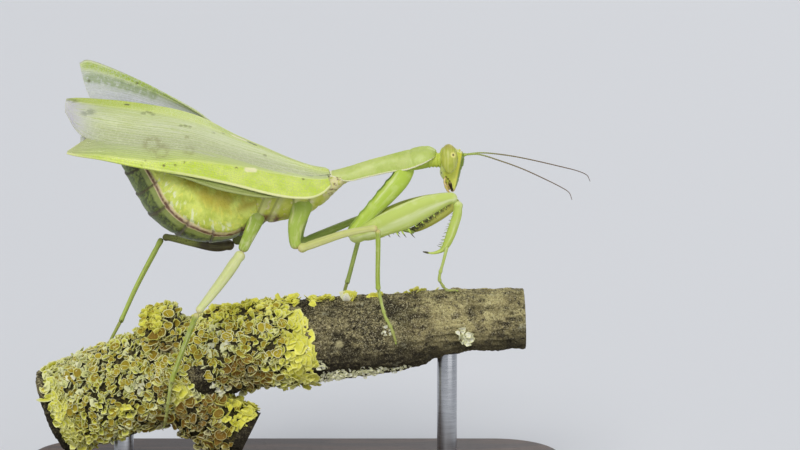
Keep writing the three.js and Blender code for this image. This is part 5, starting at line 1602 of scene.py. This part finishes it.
def lobe_shape(number, luck, flat=1.0):
    """A scrap of leaf: narrow at its foot, scalloped at its tip, ruffled unless flat is small."""
    bm = bmesh.new()
    zone = bm.verts.layers.float.new("zone")
    bmesh.ops.create_grid(bm, x_segments=3, y_segments=4, size=0.5)
    scallops, phase = luck.uniform(2.2, 3.4), luck.uniform(0, 6)
    rise, ruffle, roll = (flat * luck.uniform(*span) for span in ((0.1, 0.4), (0.06, 0.16), (-0.3, 0.45)))
    for vert in bm.verts:
        out, across = vert.co.x + 0.5, vert.co.y * 2
        width = 0.26 + 0.36 * math.sin(math.pi / 2 * out) + 0.05 * math.sin(phase + 4 * out)
        length = 1 - 0.3 * across * across + 0.09 * math.cos(scallops * across * math.pi + phase)
        height = rise * out * out + ruffle * out * math.sin(2.6 * across + phase) + roll * out * abs(across) ** 2 * 0.5
        vert.co = Vector((out * length, across * width, height))
        vert[zone] = max(out, abs(across)) ** 2
    bmesh.ops.solidify(bm, geom=bm.faces[:], thickness=0.07)
    return keep_as_mesh(bm, f"lobe_{number}")


# Half a section of a cup: radius, height, and 0 for its wall, 0.5 for the rim and 1 for the floor.
CUP = [(0.0, -0.12, 0), (0.24, -0.1, 0), (0.45, 0.2, 0.2), (0.5, 0.35, 0.5), (0.46, 0.37, 0.6), (0.4, 0.27, 0.95), (0.0, 0.22, 1)]


def cup_shape(number, luck):
    """A cup, spun from half its section and pressed out of round."""
    bm = bmesh.new()
    zone = bm.verts.layers.float.new("zone")
    profile = []
    for radius, height, where in CUP:
        vert = bmesh.ops.create_vert(bm, co=(radius, 0, height))["vert"][0]
        vert[zone] = where
        profile.append(vert)
    edges = [bm.edges.new(pair) for pair in zip(profile, profile[1:])]
    bmesh.ops.spin(bm, geom=profile + edges, cent=(0, 0, 0), axis=(0, 0, 1), angle=2 * math.pi, steps=10, use_merge=True)
    bmesh.ops.remove_doubles(bm, verts=bm.verts, dist=1e-4)
    bent, phase, corners = luck.uniform(0.1, 0.32), luck.uniform(0, 6), luck.choice((2, 3, 4))
    for vert in bm.verts:
        angle = math.atan2(vert.co.y, vert.co.x)
        grown = 1 + bent * math.cos(corners * angle + phase)
        lift = 0.13 * math.sin(2 * angle + phase) * vert.co.xy.length
        vert.co = Vector((vert.co.x * grown, vert.co.y * grown * luck.uniform(0.97, 1.03), vert.co.z + lift))
    return keep_as_mesh(bm, f"cup_{number}")


def plant(bm, shape, place, normal, heading, size, tilt, values):
    """Adds a copy of a shape: standing on a place, heading along the bark, tilted up from it."""
    aside = normal.cross(heading).normalized()
    heading = aside.cross(normal)
    turn = Matrix.Rotation(-tilt, 3, aside) @ Matrix((heading, aside, normal)).transposed()
    copy = shape.copy()
    copy.transform(Matrix.Translation(place) @ turn.to_4x4() @ Matrix.Diagonal((*(Vector(size) * MM), 1)))
    for name, value in values.items():
        copy.attributes[name].data.foreach_set("value", [value] * len(copy.vertices))
    bm.from_mesh(copy)
    bpy.data.meshes.remove(copy)


def fresh():
    """An empty mesh that already has the numbers of the lichen."""
    bm = bmesh.new()
    for value in LICHEN_VALUES:
        bm.verts.layers.float.new(value)
    return bm


# %% [markdown]
# ## Growing the lichen
# Places are drawn at random on the bark and kept where the cover says so. At the growing margin the lobes are
# large, flat and bright and point outwards. Further in they stand up, and cups crowd between them. A few patches
# of colour are laid down one by one, because a real crust is never the same all over.

# %% Growing the lichen
random.seed(12)
LOBES = [lobe_shape(i, random) for i in range(9)]
FLAT_LOBES = [lobe_shape(i, random, 0.35) for i in range(9, 14)]
CUPS = [cup_shape(i, random) for i in range(6)]
# Place along the branch, height as a share of the radius, and how far the patch spreads both ways.
BRIGHT_PATCHES = (((2.2, -0.1), (4.6, 1.2)), ((-23.2, -0.5), (1.7, 0.42)), ((-45.5, 0.1), (2.4, 0.8)), ((-23.2, 1.0), (3.0, 0.35)),
                  ((-33.5, -0.3), (3.2, 0.16)), ((-43, -0.6), (4.0, 0.3)), ((-9, 0.95), (7.0, 0.25)))
MARGIN_PATCH = ((-23.2, -0.5), (1.6, 0.4))
BROWN_PATCHES = (((-10.5, -0.35), (5.0, 0.42)), ((-8.5, -0.78), (6.5, 0.4)), ((-30, -0.8), (6.0, 0.3)),
                 ((-24.5, -0.2), (3.0, 0.25)), ((-22.5, 0.6), (3.0, 0.25)))
GAPS = (((-22.5, -0.95), (4.0, 0.28)), ((-14.5, -0.9), (3.0, 0.25)))
ASH_PATCHES = (((-40.5, 0.75), (5.0, 0.4)), ((-13.0, 0.3), (5.0, 0.3)), ((-29.0, 0.1), (4.0, 0.3)), ((-16.6, -0.7), (1.6, 0.3)))


def share_of(patches, x, up):
    return min(1, sum(patch(x, up, *p) for p in patches))


def tints(run, x, up, front, spot):
    """How bright, brown and ashen the lichen is here."""
    drift = 0.5 * noise.noise(spot * 0.5 + Vector((2, 8, 5)))
    if run is FORK:
        bright = ease(-0.1, 0.75, up + 0.1 * (x + 14) + 0.5 * drift) * ease(-18, -13, x)
        return bright, min(1, max(0, 0.95 - bright + drift)), 0.1
    bright = share_of(BRIGHT_PATCHES, x, up) if front > -0.2 else ease(-3, 2, x) + 0.3 + drift
    bright *= blend(0.55, 1, ease(-41, -33, x))
    brown = share_of(BROWN_PATCHES, x, up) + 0.3 * drift
    ash = share_of(ASH_PATCHES, x, up) + 0.35 * drift
    return [min(1, max(0, value)) for value in (bright + 0.35 * drift, brown, ash)]


def share_at(x):
    """The share of the trunk's length at a place along the base."""
    low, high = 0.0, 1.0
    for _ in range(16):
        middle = (low + high) / 2
        low, high = (middle, high) if BRANCH.place(middle)[0].x < x * MM else (low, middle)
    return low


def grow(count, chooser, run, low=0.0, high=1.0):
    """Draws places on a run; chooser(...) plants there or not."""
    for _ in range(count):
        share, angle = random.uniform(low, high), random.uniform(0, 2 * math.pi)
        centre, outward, ahead, reach, height, cover = bark_point(run, share, angle)
        x, up, front = centre.x / MM, math.sin(angle), -math.cos(angle)
        chooser(run, x, up, front, centre + outward * reach * MM, outward, ahead, cover)


def margin_share(run, x, up):
    """1 at the right-hand growing margin of the trunk and the outer end of the fork."""
    if run is FORK:
        return ease(-13.5, -10.5, x) * ease(0, 0.6, up)
    return min(1, ease(-2.5, 2.5, x + 2.5 * ease(0.55, 1, up)) + 1.2 * patch(x, up, *MARGIN_PATCH) + 0.7 * ease(-43, -46, x))


def crowd(lobes, cups):
    def choose(run, x, up, front, place, outward, ahead, cover):
        if cover < 0.5 or random.random() < (0.35 if run is FORK else 0.8 * share_of(GAPS, x, up)):
            return
        bright, brown, ash = tints(run, x, up, front, place / MM)
        edge = margin_share(run, x, up)
        values = {"bright": bright, "brown": brown, "ash": ash, "luck": random.random()}
        around = outward.cross(ahead)
        heading = (ahead * random.gauss(0.15 + 1.6 * edge, 0.7) + around * random.gauss(0, 0.7)).normalized()
        lean = (outward + 0.25 * around * random.gauss(0, 1) + 0.25 * ahead * random.gauss(0, 1)).normalized()
        if random.random() < (0.4 + 0.12 * brown) * (1 - edge) * (1 - 0.5 * bright):
            size = random.choice((0.6, 0.7, 0.8, 0.95, 1.15, 1.5, 2.1)) * random.uniform(0.85, 1.1) * (1 + 0.3 * brown)
            plant(cups, random.choice(CUPS), place + outward * random.uniform(0.05, 0.4) * MM, lean, heading,
                  (size, size * random.uniform(0.7, 1), size * random.uniform(0.6, 0.85)), 0, values)
        else:
            size = blend(random.uniform(0.7, 1.4), random.uniform(1.5, 2.5), edge)
            tilt = blend(random.uniform(0.1, 1.15), random.uniform(-0.02, 0.16), edge)
            lean = lean.lerp(outward, 0.75 * edge).normalized()
            plant(lobes, random.choice(FLAT_LOBES if random.random() < edge else LOBES),
                  place + outward * (random.uniform(-0.1, 0.35) + 0.22 * edge) * MM, lean, heading,
                  (size, size * random.uniform(0.75, 1.2), size * random.uniform(0.7, 1.2)), tilt, values)
    return choose


def lichen_finish():
    f = Finish("lichen")
    zone, bright, brown, ash, luck = (f.value(n) for n in LICHEN_VALUES)
    cloud = f.noise(1.6, 4, 0.6)
    fine = f.noise(0.3, 3, 0.7)
    skin = f.mix(luck.step(0.1, 0.9), tone(200, 198, 66), tone(236, 232, 100))
    skin = f.mix(cloud.step(0.4, 0.6) * 0.5, skin, tone(214, 218, 104))
    skin = f.mix(ash.step(0.3, 0.8) * 0.7, skin, tone(196, 202, 152))
    skin = f.mix(luck.step(0.64, 0.74) * (1 - bright) * 0.8, skin, tone(224, 226, 188))
    skin = f.mix(ash.step(0.85, 0.97), skin, tone(238, 236, 218))
    skin = f.mix(brown.step(0.4, 1.0) * 0.82, skin, tone(114, 90, 32))
    skin = f.mix(bright.step(0.2, 0.75) * 0.95, skin, f.mix(luck, tone(218, 216, 76), tone(240, 235, 98)))
    pale = zone.step(0.7, 0.92) * (1 - bright * 0.75) * (1 - brown * 0.4)
    skin = f.mix(pale * 0.85, skin, tone(240, 240, 184))
    # Painted shade: each lobe darkens towards its foot, where it meets the bark and its neighbours.
    skin = f.mix(zone.step(0.5, 0.08) * (0.88 - bright.maths("MAXIMUM", ash.step(0.6, 0.9)) * 0.7), skin, tone(40, 36, 15))
    skin = f.mix(fine.step(0.42, 0.3) * 0.4, skin, tone(96, 88, 40))
    return f.surface({"Base Color": skin, "Roughness": fine * 0.2 + 0.68, "Normal": f.bump(fine, 0.08),
                      "Specular IOR Level": 0.28})


def cup_finish():
    f = Finish("cup")
    zone, bright, brown, ash, luck = (f.value(n) for n in LICHEN_VALUES)
    fine = f.noise(0.3, 3, 0.7)
    floor = f.mix(luck.step(0.0, 1.0), tone(144, 124, 28), tone(174, 156, 42))
    floor = f.mix(brown.step(0.25, 0.9) * 0.88, floor, tone(112, 78, 22))
    # Painted highlights: pale speckles on the cup floors.
    floor = f.mix(fine.step(0.5, 0.7) * 0.3, floor, tone(198, 182, 80))
    rim = f.mix(luck.step(0.3, 0.8), tone(218, 218, 112), tone(240, 238, 190))
    rim = f.mix(brown.step(0.5, 0.95) * 0.6, f.mix(bright.step(0.3, 0.8), rim, tone(214, 212, 96)), tone(146, 124, 62))
    wall = f.mix(ash, f.mix(brown, tone(150, 144, 86), tone(92, 76, 38)), tone(192, 192, 164))
    skin = f.mix(zone.step(0.2, 0.45), wall, rim)
    skin = f.mix(zone.step(0.62, 0.8), skin, floor)
    # Painted shade: the foot of each cup's wall is dark where it meets the bark.
    skin = f.mix(zone.step(0.14, 0.0) * 0.8, skin, tone(50, 44, 24))
    return f.surface({"Base Color": skin, "Roughness": fine * 0.2 + 0.6, "Normal": f.bump(fine, 0.06),
                      "Specular IOR Level": 0.3})


left_lobes, right_lobes, left_cups, right_cups = fresh(), fresh(), fresh(), fresh()
lichen, crust = lichen_finish(), cup_finish()
LICHEN_MIDDLE, LICHEN_END = 0.28, 0.57
grow(3500, crowd(left_lobes, left_cups), BRANCH, 0.0, LICHEN_MIDDLE)
grow(380, crowd(left_lobes, left_cups), BRANCH, share_at(-27.0), share_at(-19.0))
grow(3500, crowd(right_lobes, right_cups), BRANCH, LICHEN_MIDDLE, LICHEN_END)
grow(1400, crowd(right_lobes, right_cups), FORK, 0.2, 0.99)

# %% [markdown]
# ## Scraps
# Outside the main crust grow a few scraps: yellow chips along the top, a pale crinkled strip under the near edge,
# and one white rosette. They are the same lobes, planted in small groups at chosen places.

# %% Scraps
# Place along the branch, degrees round it (90 is the top, 180 the near side), spread both ways, lobes, their size,
# and how bright and how ashen they are.
SCRAPS = [
    (0.6, 100, 1.6, 14, 22, 1.5, 1.0, 0.0), (6.6, 98, 1.9, 12, 24, 1.5, 1.0, 0.0), (17.6, 96, 1.3, 8, 9, 1.2, 0.9, 0.0),
    (12.0, 104, 0.1, 3, 3, 2.0, 0.0, 1.0), (12.9, 104, 0.1, 3, 3, 2.2, 1.0, 0.1), (35.4, 203, 0.9, 7, 26, 1.15, 0.0, 1.0),
    (34.3, 187, 0.4, 4, 8, 0.9, 0.0, 1.0),
    (8.6, 234, 3.2, 9, 120, 0.75, 0.0, 1.0), (15.0, 235, 3.4, 8, 110, 0.75, 0.0, 1.0), (20.5, 238, 1.8, 6, 30, 0.6, 0.0, 0.95),
    (5.6, 208, 0.5, 6, 10, 0.9, 0.0, 1.0), (19.6, 168, 0.5, 5, 7, 0.7, 0.0, 1.0), (3.9, 178, 0.4, 3, 5, 0.8, 0.0, 1.0),
    (-16.4, 225, 1.3, 12, 18, 1.0, 0.0, 1.0), (26.0, 70, 4.0, 20, 26, 1.1, 0.6, 0.4), (38.0, 20, 2.5, 25, 40, 1.4, 0.8, 0.1),
    (24.0, 330, 4.0, 25, 50, 1.2, 0.2, 0.7),
]
scraps = fresh()
for x0, degrees, spread, turn, count, size, bright, ash in SCRAPS:
    for _ in range(count):
        x = x0 + random.gauss(0, spread * 0.55)
        angle = math.radians(degrees + random.gauss(0, turn * 0.55))
        centre, outward, ahead, reach, height, cover = bark_point(BRANCH, share_at(x), angle)
        around = outward.cross(ahead)
        heading = (ahead * (x - x0 + random.gauss(0, 0.4)) + around * random.gauss(0, 1)).normalized()
        grown = size * random.uniform(0.7, 1.15)
        values = {"bright": bright, "brown": 0.0, "ash": ash, "luck": random.random()}
        plant(scraps, random.choice(LOBES), centre + outward * reach * MM, outward, heading,
              (grown, grown * random.uniform(0.8, 1.2), grown * 0.9), random.uniform(0.0, 0.75) if size < 1.7 else 1.1, values)

for name, made, finish in (
        ("lichen_lobes_left", left_lobes, lichen), ("lichen_lobes_right", right_lobes, lichen),
        ("lichen_scraps", scraps, lichen), ("lichen_cups_left", left_cups, crust), ("lichen_cups_right", right_cups, crust)):
    piece(name, made, finish, "branch", smooth="cups" in name)

# %% [markdown]
# ## Stand
# The stand is furniture, not animal: a block of dark oiled wood with softened corners and two thin steel rods. A
# block cut from a plate keeps its rounded corners when its upper edge is bevelled, so the plate is grown from a
# grid, its corners are rounded, and only then is it made thick.

# %% Stand
BASE_HALF = (56.0, 33.0)
BASE_CORNER = 14.0
BASE_HEIGHT = 8.0
ROD_PLACES = {"stand_rod_left": (-34.0, 17.2), "stand_rod_right": (31.5, 33.6)}
ROD_RADIUS = 2.0


def wood_finish():
    f = Finish("oiled_wood")
    x, y, z = f.axes()
    bend = f.noise(1.0, 3, 0.5, vector=f.vector(x * 0.012, y * 0.05, z * 0.05))
    years = (y * 0.16 + z * 0.3 + bend * 7.0).maths("PINGPONG", 0.5)
    fibre = f.noise(1.0, 4, 0.7, vector=f.vector(x * 0.25, y * 3.4, z * 3.4))
    pores = f.noise(1.0, 2, 0.5, vector=f.vector(x * 0.5, y * 6.0, z * 6.0)).step(0.62, 0.7)
    skin = f.mix(years.step(0.1, 0.45), tone(70, 50, 38), tone(96, 70, 50))
    skin = f.mix(fibre.step(0.4, 0.65) * 0.5, skin, tone(58, 42, 32))
    skin = f.mix(pores * 0.7, skin, tone(34, 25, 20))
    return f.surface({"Base Color": skin, "Roughness": fibre * 0.2 + 0.34, "Normal": f.bump(fibre * 0.5 - pores * 0.5, 0.08),
                      "Coat Weight": 0.15, "Coat Roughness": 0.3})


def steel_finish():
    f = Finish("satin_steel")
    x, y, z = f.axes()
    turned = f.noise(1.0, 3, 0.6, vector=f.vector(x * 0.3, y * 0.3, z * 9.0))
    smudge = f.noise(5.0, 3, 0.5)
    skin = f.mix(turned.step(0.3, 0.7), tone(170, 172, 176), tone(196, 198, 202))
    return f.surface({"Base Color": skin, "Metallic": 1.0, "Roughness": turned * 0.1 + smudge * 0.16 + 0.16,
                      "Normal": f.bump(turned, 0.01)})


def rounded_block(bm, half, corner, height, softness):
    """A plate with rounded corners, made thick, with its upper edge softened."""
    def place(u, t):
        x, y = blend(-half[0], half[0], u), blend(-half[1], half[1], t)
        over = Vector((max(0, abs(x) - half[0] + corner), max(0, abs(y) - half[1] + corner)))
        if over.x and over.y:
            over = over.normalized() * max(over.x, over.y)
        inner = Vector((min(abs(x), half[0] - corner), min(abs(y), half[1] - corner)))
        return at(math.copysign(inner.x + over.x, x), math.copysign(inner.y + over.y, y), height)

    wrap(bm, 56, 33, place)
    bottom = bmesh.ops.extrude_face_region(bm, geom=bm.faces[:])["geom"]
    bmesh.ops.translate(bm, vec=(0, 0, -height * MM), verts=[g for g in bottom if isinstance(g, bmesh.types.BMVert)])
    bmesh.ops.recalc_face_normals(bm, faces=bm.faces)
    sharp = [e for e in bm.edges if len(e.link_faces) == 2 and e.calc_face_angle() > 1.2 and e.verts[0].co.z > height * MM / 2]
    bmesh.ops.bevel(bm, geom=sharp, offset=softness * MM, offset_type="OFFSET", affect="EDGES", segments=5, profile=0.5,
                    material=-1, clamp_overlap=True)


bm = bmesh.new()
rounded_block(bm, BASE_HALF, BASE_CORNER, BASE_HEIGHT, 0.9)
piece("stand_base_block", bm, wood_finish(), "stand_base", "stand_base")
steel = steel_finish()
for name, (x, top) in ROD_PLACES.items():
    bm = bmesh.new()
    tall = top - BASE_HEIGHT
    rod = bmesh.ops.create_cone(bm, cap_ends=True, segments=64, radius1=ROD_RADIUS * MM, radius2=ROD_RADIUS * MM, depth=tall * MM)
    rims = [e for e in bm.edges if len(e.link_faces) == 2 and e.calc_face_angle() > 1.2]
    bmesh.ops.bevel(bm, geom=rims, offset=0.25 * MM, offset_type="OFFSET", affect="EDGES", segments=3, profile=0.5,
                    material=-1, clamp_overlap=True)
    bmesh.ops.translate(bm, vec=at(x, 0, BASE_HEIGHT + tall / 2), verts=bm.verts)
    piece(f"{name}_turned", bm, steel, "stand_rod", name)

# %% [markdown]
# ## Studio
# A pale floor that runs far back fills the view, because the camera looks slightly down on it. A soft sun
# from above and in front does most of the work, a weaker and softer one fills the shadow side, and a lamp from
# behind draws the rims of the wings. Suns light the whole floor alike, so it has no edge of shade.

# %% Studio
CAMERA_TARGET = at(22, 0, 59.4)
CAMERA_DISTANCE = 444.4 * MM
CAMERA_ELEVATION = math.radians(8)
FLOOR_SIZE = 24.0


def studio_floor():
    bm = bmesh.new()
    bmesh.ops.create_grid(bm, x_segments=4, y_segments=4, size=FLOOR_SIZE / 2)
    mesh = bpy.data.meshes.new("studio_floor")
    bm.to_mesh(mesh)
    bm.free()
    f = Finish("studio_floor")
    mesh.materials.append(f.surface({"Base Color": tone(226, 227, 230), "Roughness": 0.75}))
    floor = bpy.data.objects.new("studio_floor", mesh)
    bpy.context.collection.objects.link(floor)


def lamp(kind, name, place, power, soft, colour=(1, 1, 1)):
    """A soft lamp that faces the animal; soft is the angle of a sun or the width of a disk."""
    light = bpy.data.lights.new(name, kind)
    if kind == "SUN":
        light.angle = soft
    else:
        light.shape = "DISK"
        light.size = soft
    light.energy = power
    light.color = colour
    made = bpy.data.objects.new(name, light)
    made.location = place
    made.rotation_euler = (CAMERA_TARGET - place).to_track_quat("-Z", "Y").to_euler()
    bpy.context.collection.objects.link(made)


def camera():
    data = bpy.data.cameras.new("camera")
    data.lens = 100
    data.sensor_width = 36
    data.clip_start = 0.01
    data.clip_end = 60
    made = bpy.data.objects.new("camera", data)
    back = Vector((0, -math.cos(CAMERA_ELEVATION), math.sin(CAMERA_ELEVATION)))
    made.location = CAMERA_TARGET + back * CAMERA_DISTANCE
    made.rotation_euler = (-back).to_track_quat("-Z", "Y").to_euler()
    bpy.context.collection.objects.link(made)
    bpy.context.scene.camera = made


studio_floor()
lamp("SUN", "key_lamp", at(-120, -520, 520), 1.5, math.radians(28), (1, 0.985, 0.95))
lamp("SUN", "fill_lamp", at(360, -520, 190), 0.54, math.radians(50), (1, 0.99, 0.97))
lamp("SUN", "rim_lamp", at(160, 460, 420), 0.5, math.radians(30))
world = bpy.data.worlds.new("studio")
world.use_nodes = True
world.node_tree.nodes["Background"].inputs["Color"].default_value = (0.84, 0.88, 0.95, 1)
world.node_tree.nodes["Background"].inputs["Strength"].default_value = 0.47
bpy.context.scene.world = world
bpy.context.scene.view_settings.view_transform = "Standard"
camera()
